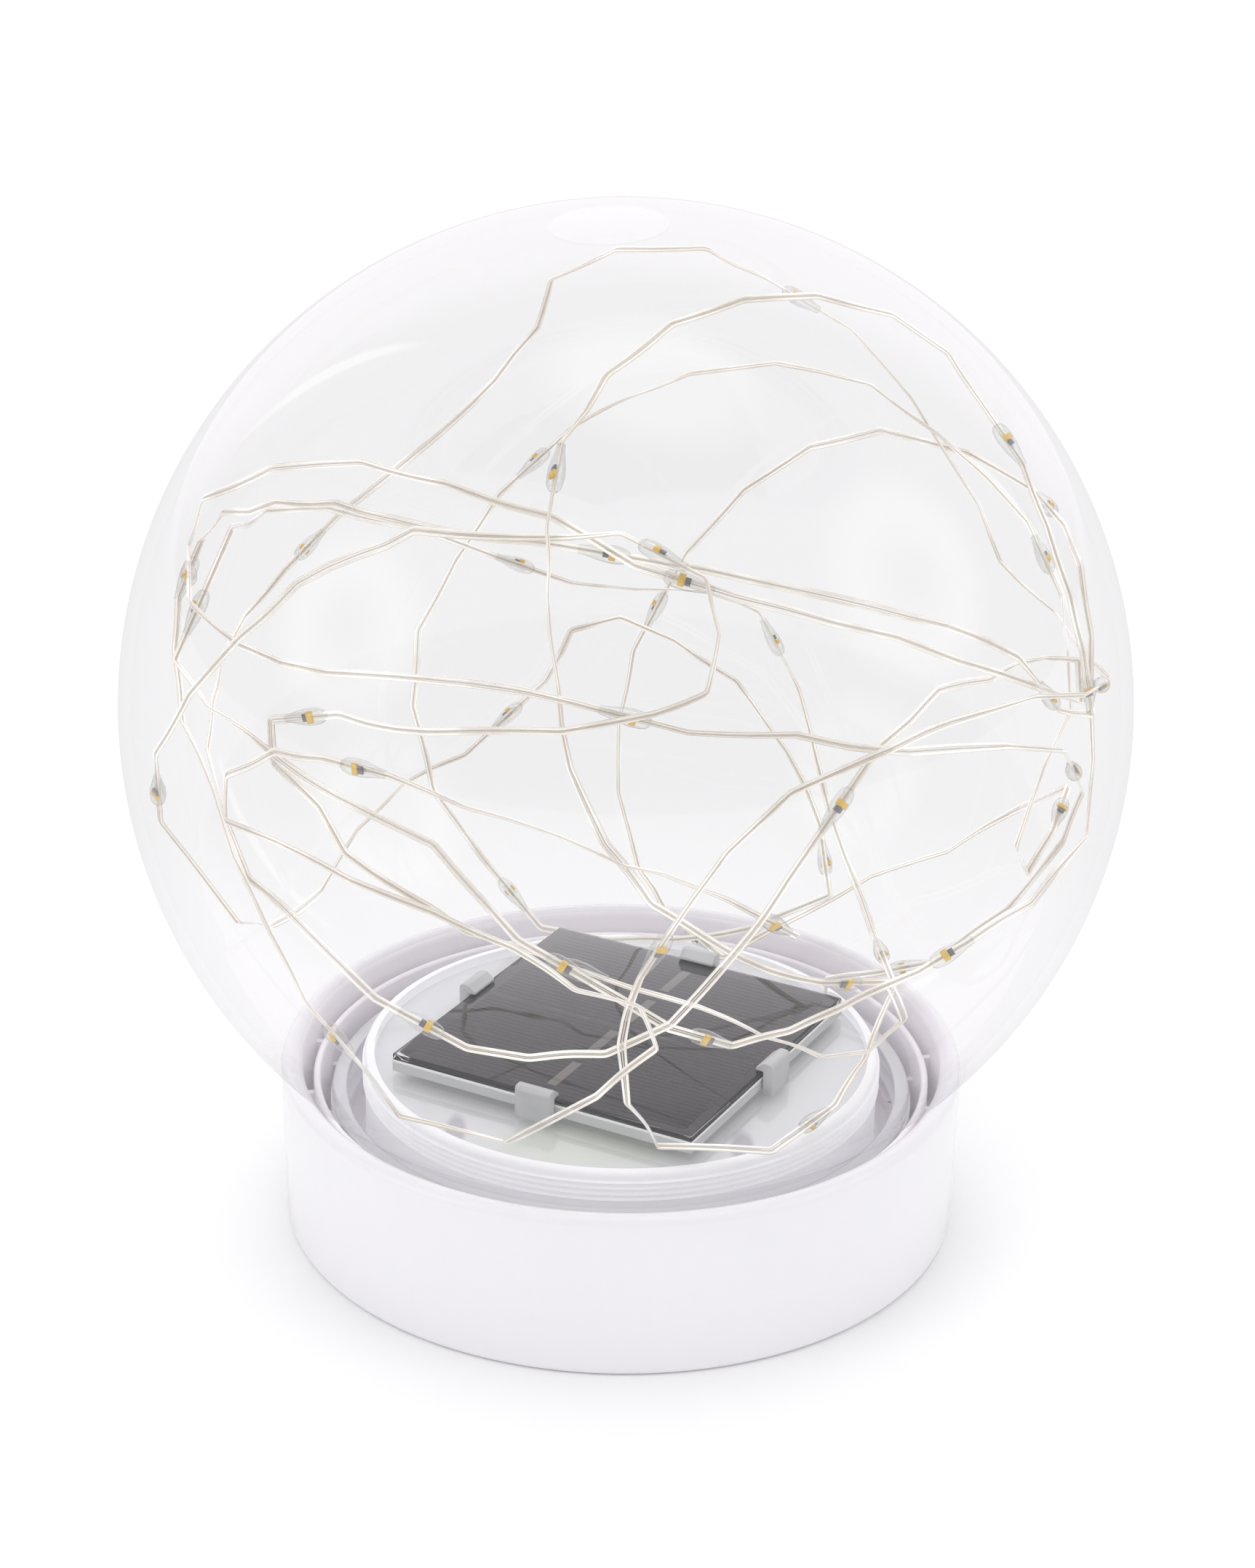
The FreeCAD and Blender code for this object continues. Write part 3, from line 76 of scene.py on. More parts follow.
# Studio floor: a white sheet of card. Close to the light it takes the soft shadow of the base, and further
# out it is plain white, as are its reflections.
class Socket:
    """A node's output that can be used in sums: each operator adds a Math node behind it."""

    def __init__(self, tree, output=None):
        self.tree = tree
        self.output = output

    def node(self, kind, settings=None, inputs=None, output=0):
        """Adds a node of this type, sets it up, feeds its sockets and returns one output."""
        made = self.tree.nodes.new(kind)
        for name, value in (settings or {}).items():
            if name == "stops":
                while len(made.color_ramp.elements) < len(value):
                    made.color_ramp.elements.new(1)
                for element, (position, colour) in zip(made.color_ramp.elements, value):
                    element.position = position
                    element.color = colour
            else:
                setattr(made, name, value)
        for name, value in (inputs or {}).items():
            if isinstance(value, Socket):
                self.tree.links.new(value.output, made.inputs[name])
            else:
                made.inputs[name].default_value = value
        return Socket(self.tree, made.outputs[output] if made.outputs else None)

    def maths(self, operation, *values):
        return self.node("ShaderNodeMath", {"operation": operation}, dict(enumerate(values)))

    def __add__(self, other):
        return self.maths("ADD", self, other)

    def __sub__(self, other):
        return self.maths("SUBTRACT", self, other)

    def __rsub__(self, other):
        return self.maths("SUBTRACT", other, self)

    def __mul__(self, other):
        return self.maths("MULTIPLY", self, other)

    def __truediv__(self, other):
        return self.maths("DIVIDE", self, other)

    def __pow__(self, other):
        return self.maths("POWER", self, other)

    __radd__ = __add__
    __rmul__ = __mul__

    def clamped(self):
        return self.maths("MAXIMUM", self.maths("MINIMUM", self, 1.0), 0.0)


def new_finish(name):
    """A material with no nodes yet, and the socket that its nodes are added from."""
    material = bpy.data.materials.new(name)
    material.use_nodes = True
    material.node_tree.nodes.clear()
    return material, Socket(material.node_tree)


def close_finish(start, shader):
    start.node("ShaderNodeOutputMaterial", None, {"Surface": shader})


def whereabouts(start):
    """Where a point lies on its piece."""
    return start.node("ShaderNodeTexCoord", None, None, "Object")


def clouds(start, scale, detail):
    """Uneven clouds over the piece, between 0 and 1."""
    return start.node("ShaderNodeTexNoise", None, {
        "Vector": whereabouts(start), "Scale": scale, "Detail": detail})


def ray_is(start, kind):
    """1 for rays of this kind, else 0."""
    return start.node("ShaderNodeLightPath", None, None, f"Is {kind} Ray")


def seen_rays(start):
    """1 for rays from the camera and those that glass and gloss send on, else 0."""
    return (ray_is(start, "Camera") + ray_is(start, "Glossy") + ray_is(start, "Transmission")).clamped()


floor_size = 8.0
floor_white = (0.92, 0.92, 0.925, 1)
shadow_start = 0.058
shadow_end = 0.17
floor_finish, start = new_finish("floor_card")
reach = start.node("ShaderNodeVectorMath", {"operation": "LENGTH"}, {0: whereabouts(start)}, "Value")
card = start.node("ShaderNodeBsdfPrincipled", None, {
    "Base Color": floor_white, "Roughness": clouds(start, 900.0, 3.0) * 0.2 + 0.7,
    "Specular IOR Level": 0.1})
white = start.node("ShaderNodeEmission", None, {"Color": (1, 1, 1, 1), "Strength": 1.0})
far = ((reach - shadow_start) / (shadow_end - shadow_start)).clamped()
close_finish(start, start.node("ShaderNodeMixShader", None, {0: far * seen_rays(start), 1: card, 2: white}))

bpy.ops.object.select_all(action="DESELECT")
bpy.ops.mesh.primitive_plane_add(size=floor_size, location=(0, 0, 0))
floor = bpy.context.object
floor.name = "studio_floor"
floor.data.materials.append(floor_finish)

# Studio light: white surroundings, a left and a right lamp and one above. The lamps show in no mirror image.
# The round cloths in front of them do, soft at the edge and some a little darker in the middle.
lit_surroundings = 0.78
mirrored_surroundings = 0.40
lamp_tallness = 1.4
# Name, place, width, power
lamps = (
    ("left_lamp", (-0.75, -0.55, 0.85), 0.7, 3.0),
    ("right_lamp", (0.85, -0.35, 0.45), 0.6, 1.4),
    ("top_lamp", (0.05, 0.25, 1.1), 1.1, 5.4),
)
pale_green = (0.97, 1.0, 0.97, 1)
pale_violet = (1.0, 0.96, 1.0, 1)
# Name, direction from the globe, width and height, brightness, how far the middle is dimmed, colour
cloths = (
    ("left_cloth", (-0.86, -0.33, 0.38), 1.0, 0.9, 1.75, 0.6, pale_green),
    ("right_cloth", (0.85, -0.19, 0.50), 1.1, 1.0, 1.7, 0.6, pale_green),
    ("top_cloth", (0.07, 0.10, 1.0), 1.1, 0.9, 1.7, 0.0, pale_green),
    ("left_strip", (-0.62, 0.60, 0.50), 0.09, 0.9, 2.2, 0.0, pale_green),
    ("right_strip", (0.86, 0.48, 0.18), 0.07, 1.0, 2.2, 0.0, pale_green),
    ("back_cloth", (0.0, 1.0, 0.22), 3.4, 2.6, 1.5, 0.0, pale_violet),
)

world = bpy.data.worlds.new("studio")
bpy.context.scene.world = world
world.use_nodes = True
world.node_tree.nodes.clear()
start = Socket(world.node_tree)
strength = (1.0 - ray_is(start, "Glossy") * (1.0 - mirrored_surroundings)
            - ray_is(start, "Diffuse") * (1.0 - lit_surroundings))
sky = start.node("ShaderNodeBackground", None, {"Color": (1, 1, 1, 1), "Strength": strength})
start.node("ShaderNodeOutputWorld", None, {"Surface": sky})

for name, lamp_place, lamp_size, power in lamps:
    lamp_data = bpy.data.lights.new(name, "AREA")
    lamp_data.shape = "RECTANGLE"
    lamp_data.size = lamp_size
    lamp_data.size_y = lamp_size * lamp_tallness
    lamp_data.energy = power
    lamp = bpy.data.objects.new(name, lamp_data)
    bpy.context.collection.objects.link(lamp)
    lamp.location = lamp_place
    lamp.rotation_mode = "QUATERNION"
    lamp.rotation_quaternion = (globe_middle - Vector(lamp_place)).to_track_quat("-Z", "Y")
    lamp.visible_camera = False
    lamp.visible_glossy = False
    lamp.visible_transmission = False


def cloth_finish(name, size, brightness, dimmed, colour):
    """Lit cloth that fades out towards its rim."""
    material, start = new_finish(name)
    level = start.node("ShaderNodeMapping", None, {
        "Vector": whereabouts(start), "Scale": (2 / size[0], 2 / size[1], 0)})
    reach = start.node("ShaderNodeVectorMath", {"operation": "LENGTH"}, {0: level}, "Value")
    edge = ((1.0 - reach) / 0.45 + (clouds(start, 3.0, 3.0) - 0.5) * 0.3).clamped()
    middle = ((0.62 - reach) / 0.5).clamped() * dimmed
    glow = start.node("ShaderNodeEmission", None, {
        "Color": colour, "Strength": (1.0 - middle) * brightness})
    clear = start.node("ShaderNodeBsdfTransparent", None, {"Color": (1, 1, 1, 1)})
    close_finish(start, start.node("ShaderNodeMixShader", None, {0: edge, 1: clear, 2: glow}))
    return material


cloth_distance = 1.3
for name, direction, width, height, brightness, dimmed, colour in cloths:
    bpy.ops.object.select_all(action="DESELECT")
    bpy.ops.mesh.primitive_plane_add(size=1, location=(0, 0, 0))
    cloth = bpy.context.object
    cloth.name = name
    cloth.scale = (width, height, 1)
    bpy.ops.object.transform_apply(location=False, rotation=False, scale=True)
    heading = Vector(direction).normalized()
    cloth.rotation_mode = "QUATERNION"
    cloth.rotation_quaternion = heading.to_track_quat("-Z", "Y")
    cloth.location = globe_middle + heading * cloth_distance
    cloth.visible_camera = False
    cloth.visible_diffuse = False
    cloth.visible_transmission = False
    cloth.visible_shadow = False
    cloth.data.materials.append(cloth_finish(name, (width, height), brightness, dimmed, colour))


# Base shell: the white foot that the globe screws into, injection moulded in glossy plastic. One round
# moulding has the skirt with its rolled lip, the web, a stiffening ring, the threaded socket and the hub
# round the battery, with eighteen ribs that tie socket, ring and skirt together.
def softened(corners, closed=True, count=4):
    """An outline whose corners are rounded, from corners of (radius, height, rounding)."""
    outline = []
    last = len(corners) - 1
    for number, (across, up, rounding) in enumerate(corners):
        here = Vector((across, up))
        if not rounding or (not closed and number in (0, last)):
            outline.append(tuple(here))
            continue
        back = (Vector(corners[number - 1][:2]) - here).normalized()
        ahead = (Vector(corners[(number + 1) % len(corners)][:2]) - here).normalized()
        half = back.angle(ahead) / 2
        middle = here + (back + ahead).normalized() * (rounding / math.sin(half))
        start_arm = here + back * (rounding / math.tan(half)) - middle
        end_arm = here + ahead * (rounding / math.tan(half)) - middle
        for step in range(count + 1):
            arm = start_arm.normalized().slerp(end_arm.normalized(), step / count)
            outline.append(tuple(middle + arm * rounding))
    if closed:
        outline.append(outline[0])
    return outline


def draw(name, outline):
    """Starts a piece in edit mode: one vertex, extruded from point to point of an upright outline."""
    bpy.ops.object.select_all(action="DESELECT")
    bpy.ops.mesh.primitive_plane_add(size=0.001, location=(0, 0, 0))
    piece = bpy.context.object
    piece.name = name
    bpy.ops.object.mode_set(mode="EDIT")
    bpy.ops.mesh.select_all(action="SELECT")
    bpy.ops.mesh.merge(type="CENTER")
    bpy.ops.transform.translate(value=(outline[0][0], 0, outline[0][1]))
    for here, there in zip(outline, outline[1:]):
        step = (there[0] - here[0], 0, there[1] - here[1])
        bpy.ops.mesh.extrude_vertices_move(TRANSFORM_OT_translate={"value": step})
    bpy.ops.mesh.select_all(action="SELECT")
    bpy.ops.mesh.remove_doubles(threshold=1e-6)
    return piece


def turned(name, outline, steps=160):
    """A round piece: its half outline is spun about the upright axis."""
    piece = draw(name, outline)
    bpy.ops.mesh.select_all(action="SELECT")
    bpy.ops.mesh.spin(steps=steps, angle=math.tau, center=(0, 0, 0), axis=(0, 0, 1))
    bpy.ops.mesh.select_all(action="SELECT")
    bpy.ops.mesh.remove_doubles(threshold=1e-6)
    bpy.ops.mesh.normals_make_consistent(inside=False)
    bpy.ops.object.mode_set(mode="OBJECT")
    return piece


def plate(name, outline, thickness):
    """A flat piece: its closed upright outline is filled and pulled out to both sides."""
    piece = draw(name, outline)
    bpy.ops.mesh.select_all(action="SELECT")
    bpy.ops.mesh.edge_face_add()
    bpy.ops.transform.translate(value=(0, -thickness / 2, 0))
    bpy.ops.mesh.extrude_region_move(TRANSFORM_OT_translate={"value": (0, thickness, 0)})
    bpy.ops.mesh.select_all(action="SELECT")
    bpy.ops.mesh.normals_make_consistent(inside=False)
    bpy.ops.object.mode_set(mode="OBJECT")
    return piece


def pick(*pieces):
    """Selects these pieces alone, with the first one active."""
    bpy.ops.object.select_all(action="DESELECT")
    for piece in pieces:
        piece.select_set(True)
    bpy.context.view_layer.objects.active = pieces[0]


def finish_modifier(piece, kind, **settings):
    """Adds a modifier to the piece and applies it."""
    pick(piece)
    modifier = piece.modifiers.new(kind.lower(), kind)
    for name, value in settings.items():
        setattr(modifier, name, value)
    bpy.ops.object.modifier_apply(modifier=modifier.name)
    return piece


def eased(piece, width, segments=2):
    """Rounds the piece's sharp edges a little, as a mould leaves them."""
    return finish_modifier(piece, "BEVEL", width=width, segments=segments, limit_method="ANGLE",
                           harden_normals=False)


def turned_by(piece, angle):
    """Turns the piece's mesh about the upright axis."""
    piece.data.transform(Matrix.Rotation(angle, 4, "Z"))


def copies_round(piece, count):
    """The piece and its copies, spread evenly round the upright axis."""
    pieces = [piece]
    for number in range(1, count):
        copy = piece.copy()
        copy.data = piece.data.copy()
        turned_by(copy, math.tau * number / count)
        bpy.context.collection.objects.link(copy)
        pieces.append(copy)
    return pieces


def joined(name, pieces):
    """Makes one object of several."""
    pick(*pieces)
    bpy.ops.object.join()
    made = bpy.context.object
    made.name = name
    made.data.name = name
    return made


def smoothed(piece, angle=35):
    """Smooth shading, apart from edges that turn by more than the angle."""
    pick(piece)
    bpy.ops.object.shade_smooth_by_angle(angle=math.radians(angle), keep_sharp_edges=False)
    return piece


def thread_ridge(name, root, crest, pitch, turns, height):
    """A thread's ridge: its section is swept up a helix, and both its ends run out into the wall."""
    root_half = pitch / 6
    crest_half = pitch / 10
    steps = int(96 * turns)
    section = [(root, -root_half), (crest, -crest_half), (crest, crest_half), (root, root_half)]
    ridge = draw(name, section)
    bpy.ops.object.mode_set(mode="OBJECT")
    finish_modifier(ridge, "SCREW", angle=math.tau * turns, screw_offset=pitch * turns, steps=steps,
                    render_steps=steps, axis="Z", use_merge_vertices=False)
    run_out = math.radians(20)
    for vertex in ridge.data.vertices:
        along = vertex.co.z / (pitch * turns)
        ends = min(1.0, min(along, 1 - along) * math.tau * turns / run_out)
        flat = Vector((vertex.co.x, vertex.co.y, 0))
        wanted = root + (flat.length - root) * max(0.0, ends)
        vertex.co.x *= wanted / flat.length
        vertex.co.y *= wanted / flat.length
    ridge.data.transform(Matrix.Translation((0, 0, height)))
    return ridge


def mixed(start, factor, low, high):
    """A colour between two, each of them a plain colour or a link."""
    low, high = (tone if isinstance(tone, Socket) else (*tone, 1) for tone in (low, high))
    return start.node("ShaderNodeMix", {"data_type": "RGBA"}, {0: factor, 6: low, 7: high}, 2)


def mottled(start, factor, colour, darkest):
    """The colour, and where the factor is small only this share of it."""
    return mixed(start, factor, [part * darkest for part in colour], colour)


def bumped(start, height, depth, strength=0.4):
    return start.node("ShaderNodeBump", None, {"Height": height, "Distance": depth, "Strength": strength})


def close_body(start, inputs):
    """Ends a material that is one solid stuff all over."""
    close_finish(start, start.node("ShaderNodeBsdfPrincipled", None, inputs))


def moulded(name, colour, roughness, grain=2500.0, grain_depth=0.00002, mottling=0.02, coat=0.0):
    """Moulded plastic: an even colour with a faint flow pattern and a fine grain in its gloss."""
    material, start = new_finish(name)
    flow = clouds(start, 55.0, 4.0)
    close_body(start, {
        "Base Color": mottled(start, flow, colour, 1 - mottling),
        "Roughness": roughness + (flow - 0.5) * 0.08, "Coat Weight": coat, "Coat Roughness": 0.08,
        "Normal": bumped(start, clouds(start, grain, 2.0), grain_depth)})
    return material


foot_radius = 0.0526
skirt_radius = 0.0530
skirt_inner = 0.0496
base_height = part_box("base_shell")[1].z
ring_outer = 0.0480
ring_inner = 0.0469
ring_height = 0.0230
socket_outer = 0.0454
socket_bore = 0.0441
socket_height = 0.0192
hub_outer = 0.0388
hub_inner = 0.0368
hub_foot = 0.0042
web_top = 0.010
web_under = 0.008
rib_count = 18
rib_bearing = math.radians(8.5)
rib_thickness = 0.0012
rib_drop = 0.0016
rib_root = 0.0006
rib_end = 0.0008
rib_lap = 0.0004
thread_pitch = 0.0030
thread_turns = 1.25
thread_start = 0.0032
ridge_height = 0.0012
ridge_sink = 0.0002
base_white = (0.86, 0.848, 0.88)
# A lighter white for the inside of the base: painted light in its gaps
inside_painted_light_white = (0.955, 0.93, 0.96)

shell = turned("base_shell_white", softened([
    (foot_radius, 0, 0.0012),
    (skirt_radius, base_height, 0.0015),
    (skirt_inner, base_height, 0.0015),
    (skirt_inner, web_top, 0.0003),
    (ring_outer, web_top, 0.0003),
    (ring_outer, ring_height, 0.0005),
    (ring_inner, ring_height, 0.0005),
    (ring_inner, web_top, 0.0003),
    (socket_outer, web_top, 0.0003),
    (socket_outer, socket_height, 0.0002),
    (socket_bore, socket_height, 0.0002),
    (socket_bore, web_top, 0.0003),
    (hub_inner, web_top, 0.0002),
    (hub_inner, hub_foot, 0.0002),
    (hub_outer, hub_foot, 0.0002),
    (hub_outer, web_under, 0.0003),
    (skirt_inner, web_under, 0.0003),
    (skirt_inner, 0, 0.0002),
]), 192)
low = (web_top + web_under) / 2
rib = plate("rib", softened([
    (socket_outer - rib_root, low, 0),
    (skirt_inner + rib_end, low, 0),
    (skirt_inner + rib_end, ring_height - rib_drop, 0),
    (ring_inner + rib_lap, ring_height - rib_drop, 0),
    (ring_inner + rib_lap, socket_height - rib_drop, 0),
    (socket_outer - rib_root, socket_height - rib_drop, 0),
]), rib_thickness)
eased(rib, 0.0002)
turned_by(rib, rib_bearing)
ridge = thread_ridge("socket_thread", socket_bore + ridge_sink, socket_bore - ridge_height, thread_pitch,
                     thread_turns, web_top + thread_start)
turned_by(ridge, rib_bearing)
shell = joined("base_shell_white", [shell, ridge] + copies_round(rib, rib_count))
smoothed(shell)
shell.data.materials.append(moulded("white_plastic", base_white, 0.24, coat=0.15))
# The inside of the skirt, ring and socket gets a lighter white than the outside: painted light, standing in
# for light bouncing round the gaps.
shell.data.materials.append(moulded("white_plastic_inside_painted_light", inside_painted_light_white, 0.3))
for face in shell.data.polygons:
    across = Vector(face.center[:2]).length
    face.material_index = 1 if across < skirt_inner + 0.0003 and face.center.z > web_top - 0.0002 else 0
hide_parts("base_shell")
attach(shell, "base")


# Neck seal: a flat silicone ring with a round rim that lies on the socket under the globe's collar.
# It is moulded in pale milky rubber and turns with the globe.
seal_inner = 0.0429
seal_low, seal_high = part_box("neck_seal")
seal = turned("neck_seal_ring", softened([
    (seal_inner, seal_low.z, 0.0002),
    (seal_high.x, seal_low.z, 0.00065),
    (seal_high.x, seal_high.z, 0.00065),
    (seal_inner, seal_high.z, 0.0002),
]), 128)
smoothed(seal)
seal.data.materials.append(moulded("silicone", (0.72, 0.72, 0.74), 0.5, grain=1500.0))
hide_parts("neck_seal")
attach(seal, "seal")


# Bottom cover: the round plate under the base, in the same white plastic with a finer, duller grain. It is
# held by three screws in recesses, over a silicone gasket that keeps the water out.
def kept(node, material, body="base", angle=30, bevel=0.0):
    """A copy of a construction solid that stands for it: merged, smoothed and given its finish."""
    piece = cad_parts[node].copy()
    piece.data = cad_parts[node].data.copy()
    piece.name = node + "_piece"
    piece.parent = None
    piece.data.materials.clear()
    for key in list(piece.keys()):
        del piece[key]
    bpy.context.collection.objects.link(piece)
    pick(piece)
    bpy.ops.object.mode_set(mode="EDIT")
    bpy.ops.mesh.select_all(action="SELECT")
    bpy.ops.mesh.remove_doubles(threshold=1e-6)
    bpy.ops.mesh.tris_convert_to_quads()
    bpy.ops.object.mode_set(mode="OBJECT")
    if bevel:
        eased(piece, bevel)
    smoothed(piece, angle)
    piece.data.materials.append(material)
    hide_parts(node)
    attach(piece, body)


def metal(name, colour, roughness):
    """Bare metal with stains, and fine marks in its gloss."""
    material, start = new_finish(name)
    close_body(start, {
        "Base Color": mottled(start, clouds(start, 260.0, 3.0), colour, 0.8), "Metallic": 1.0,
        "Roughness": roughness + (clouds(start, 1800.0, 3.0) - 0.5) * 0.1})
    return material


kept("bottom_cover", moulded("cover_plastic", base_white, 0.42, grain_depth=0.00006))
kept("cover_gasket", moulded("gasket_silicone", (0.5, 0.5, 0.52), 0.55))
steel = metal("steel", (0.62, 0.61, 0.6), 0.32)
kept("cover_screws", steel, bevel=0.00015)


# Push switch: a black switch body on the cover, a white button over its plunger and a thin rubber boot
# that closes the hole round the button.
kept("switch_body", moulded("switch_black", (0.02, 0.02, 0.022), 0.45))
kept("button_boot", moulded("boot_silicone", (0.55, 0.56, 0.58), 0.5))
kept("switch_button", moulded("button_plastic", base_white, 0.35), "button", bevel=0.0002)


# Battery: a wrapped cell in a dark open holder, with a coil spring at one end and a plate at the other.
# The spring presses the cell against the plate.
kept("battery_holder", moulded("holder_black", (0.025, 0.025, 0.028), 0.5))
kept("battery_cell", moulded("battery_wrap", (0.08, 0.26, 0.42), 0.35))
kept("battery_spring", steel)
kept("battery_plate", steel)


# Charge board: a green circuit board under the tray with its driver chip, coil and capacitor, held by two
# small screws.
kept("circuit_board", moulded("board_green", (0.03, 0.2, 0.09), 0.35, mottling=0.2))
kept("driver_chip", moulded("chip_black", (0.02, 0.02, 0.02), 0.5))
kept("power_coil", moulded("ferrite", (0.07, 0.065, 0.06), 0.6, mottling=0.2))
kept("capacitor", metal("can_aluminium", (0.7, 0.7, 0.72), 0.25))
kept("board_screws", steel)


# Panel tray: a cup of frosted plastic that fills the globe's neck and carries the solar panel on four pips,
# held by four hooked clips. Its posts take the closing screws. The blurred shapes of the posts and the board
# under the cup are painted shade on its frosted underside, and that underside and the cup's outer rim glow
# with painted light.
tray_radius = 0.0400
tray_inner = 0.0388
tray_top = 0.0265
tray_under = 0.0249
seal_rib_count = 4
seal_rib_foot = 0.0218
seal_rib_pitch = 0.00095
seal_rib_reach = 0.0004
panel_turn = math.radians(-28.4)
panel_half = 0.02585
panel_under = 0.0270
panel_top = 0.0300
screw_ring = 0.0315
screw_bearings = (-112.0, -26.0, 100.0)
screw_post_radius = 0.0032
screw_post_foot = 0.0047
board_post_radius = 0.0023
board_post_foot = 0.0233
board_post_places = ((-0.020, -0.006), (0.020, -0.006))
pip_width = 0.005
clip_width = 0.006
clip_wall = 0.0016
clip_gap = 0.0003
clip_reach = 0.001
hook_under = 0.0301
hook_top = 0.0315
root_depth = 0.0004
lap = 0.00002
frost = (0.50, 0.505, 0.515)
# The frosted underside glows with painted light, a stand-in for light scattered through the frost that
# softens the panel's shadow there.
frost_painted_glow = 0.42
# Painted shade of what lies under the frost, two posts and the board, drawn as blurred shapes: place, half
# size, tone and strength of each shape
post_painted_shade = (0.30, 0.28, 0.32)
painted_shapes_behind = (
    ((-0.0246, -0.0252), (0.0019, 0.0058), post_painted_shade, 0.9),
    ((0.0182, -0.0292), (0.0021, 0.0058), post_painted_shade, 0.95),
    ((-0.0045, -0.0285), (0.0170, 0.0085), (0.45, 0.48, 0.41), 0.7),
)


def rod(name, place, radius, foot, top, steps=32):
    """An upright round post."""
    corners = [(0, foot, 0), (radius, foot, 0.0003), (radius, top, 0.0003), (0, top, 0)]
    piece = turned(name, softened(corners, False), steps)
    piece.data.transform(Matrix.Translation((*place, 0)))
    return piece


cup_corners = [(0, tray_under, 0), (tray_inner, tray_under, 0.0004), (tray_inner, web_top, 0.0003),
               (tray_radius, web_top, 0.0003)]
for number in range(seal_rib_count):
    low = seal_rib_foot + seal_rib_pitch * number
    cup_corners += [(tray_radius, low, 0),
                    (tray_radius + seal_rib_reach, low + seal_rib_pitch * 0.25, 0.0001),
                    (tray_radius + seal_rib_reach, low + seal_rib_pitch * 0.35, 0.0001),
                    (tray_radius, low + seal_rib_pitch * 0.6, 0)]
cup_corners += [(tray_radius, tray_top, 0.0008), (tray_inner - 0.0003, tray_top, 0), (0, tray_top, 0)]
cup = turned("panel_tray_cup", softened(cup_corners, False), 160)
posts = []
for bearing in screw_bearings:
    angle = math.radians(bearing)
    spot = (screw_ring * math.cos(angle), screw_ring * math.sin(angle))
    posts.append(rod("screw_post", spot, screw_post_radius, screw_post_foot, tray_under + lap))
for spot in board_post_places:
    posts.append(rod("board_post", spot, board_post_radius, board_post_foot, tray_under + lap))
pip_inner = panel_half - pip_width * 2
pip_outer = pip_inner + pip_width
root = tray_top - root_depth
pip = plate("pip", [(pip_inner, root), (pip_outer, root), (pip_outer, panel_under), (pip_inner, panel_under),
                    (pip_inner, root)], pip_width)
pip.data.transform(Matrix.Translation((0, pip_inner + pip_width / 2, 0)))
clip_inner = panel_half + clip_gap
clip_outer = clip_inner + clip_wall
clip = plate("clip", softened([
    (clip_inner, root, 0),
    (clip_outer, root, 0),
    (clip_outer, hook_top, 0.0007),
    (clip_inner, hook_top, 0.0005),
    (panel_half - clip_reach, hook_under + 0.0004, 0.0001),
    (panel_half - clip_reach, hook_under, 0),
    (clip_inner, hook_under, 0.0002),
]), clip_width)
eased(clip, 0.00018)


def clear_cast(name, tint, edge_tint, gloss=0.04, haze=0.03, facing_power=5.0, steepest=0.3, edge_power=5.0):
    """Clear plastic seen straight through: tinted a little, and darker and glossier at a slant."""
    material, start = new_finish(name)
    flow = clouds(start, 28.0, 2.0)
    ripple = bumped(start, flow, 0.0004, 0.25)
    slant = start.node("ShaderNodeLayerWeight", None, {"Blend": 0.5, "Normal": ripple}, "Facing")
    mirror = gloss + slant ** facing_power * steepest
    middle = start.node("ShaderNodeBsdfTransparent", None, {"Color": (*tint, 1)})
    edge = start.node("ShaderNodeBsdfTransparent", None, {"Color": (*edge_tint, 1)})
    through = start.node("ShaderNodeMixShader", None, {0: slant ** edge_power, 1: middle, 2: edge})
    shine = start.node("ShaderNodeBsdfPrincipled", None, {
        "Base Color": (1, 1, 1, 1), "Metallic": 1.0, "Roughness": haze + flow * 0.02, "Normal": ripple})
    close_finish(start, start.node("ShaderNodeMixShader", None, {0: mirror, 1: through, 2: shine}))
    return material


def milky(name, colour, glow):
    """Milky plastic that glows with painted light, a stand-in for light carried through it from elsewhere.
    """
    material, start = new_finish(name)
    flow = clouds(start, 90.0, 4.0)
    shade = mottled(start, flow, colour, 0.94)
    close_body(start, {"Base Color": shade, "Roughness": 0.3 + flow * 0.1, "Emission Color": shade,
                       "Emission Strength": glow})
    return material


def soft_spot(start, middle, half_size):
    """A blurred oval on a level face: 1 in its middle, 0 outside it."""
    moved = start.node("ShaderNodeVectorMath", {"operation": "SUBTRACT"}, {
        0: whereabouts(start), 1: (*middle, 0)})
    scaled = start.node("ShaderNodeVectorMath", {"operation": "DIVIDE"}, {0: moved, 1: (*half_size, 1e6)})
    reach = start.node("ShaderNodeVectorMath", {"operation": "LENGTH"}, {0: scaled}, "Value")
    return ((1.0 - reach) / 0.4).clamped()


def frosted(name, colour, clearness, roughness):
    """Milky plastic: it scatters most of the light and lets the rest through, blurred."""
    material, start = new_finish(name)
    grain = clouds(start, 2600.0, 2.0)
    close_body(start, {
        "Base Color": mottled(start, clouds(start, 60.0, 4.0), colour, 0.97),
        "Roughness": roughness + (grain - 0.5) * 0.1, "IOR": 1.45, "Transmission Weight": clearness,
        "Normal": bumped(start, grain, 0.00003)})
    return material


def frosted_floor(name, colour):
    """Frosted underside of the cup: the shapes of two posts and the board behind it painted on as blurred
    shade, and a painted glow.
    """
    material, start = new_finish(name)
    grain = clouds(start, 2200.0, 2.0)
    shade = mottled(start, clouds(start, 45.0, 3.0), colour, 0.93)
    for middle, half_size, tone, strength in painted_shapes_behind:
        shade = mixed(start, soft_spot(start, middle, half_size) * strength, shade, tone)
    close_body(start, {
        "Base Color": shade, "Roughness": 0.5 + grain * 0.1, "Normal": bumped(start, grain, 0.00004),
        "Emission Color": shade, "Emission Strength": frost_painted_glow})
    return material


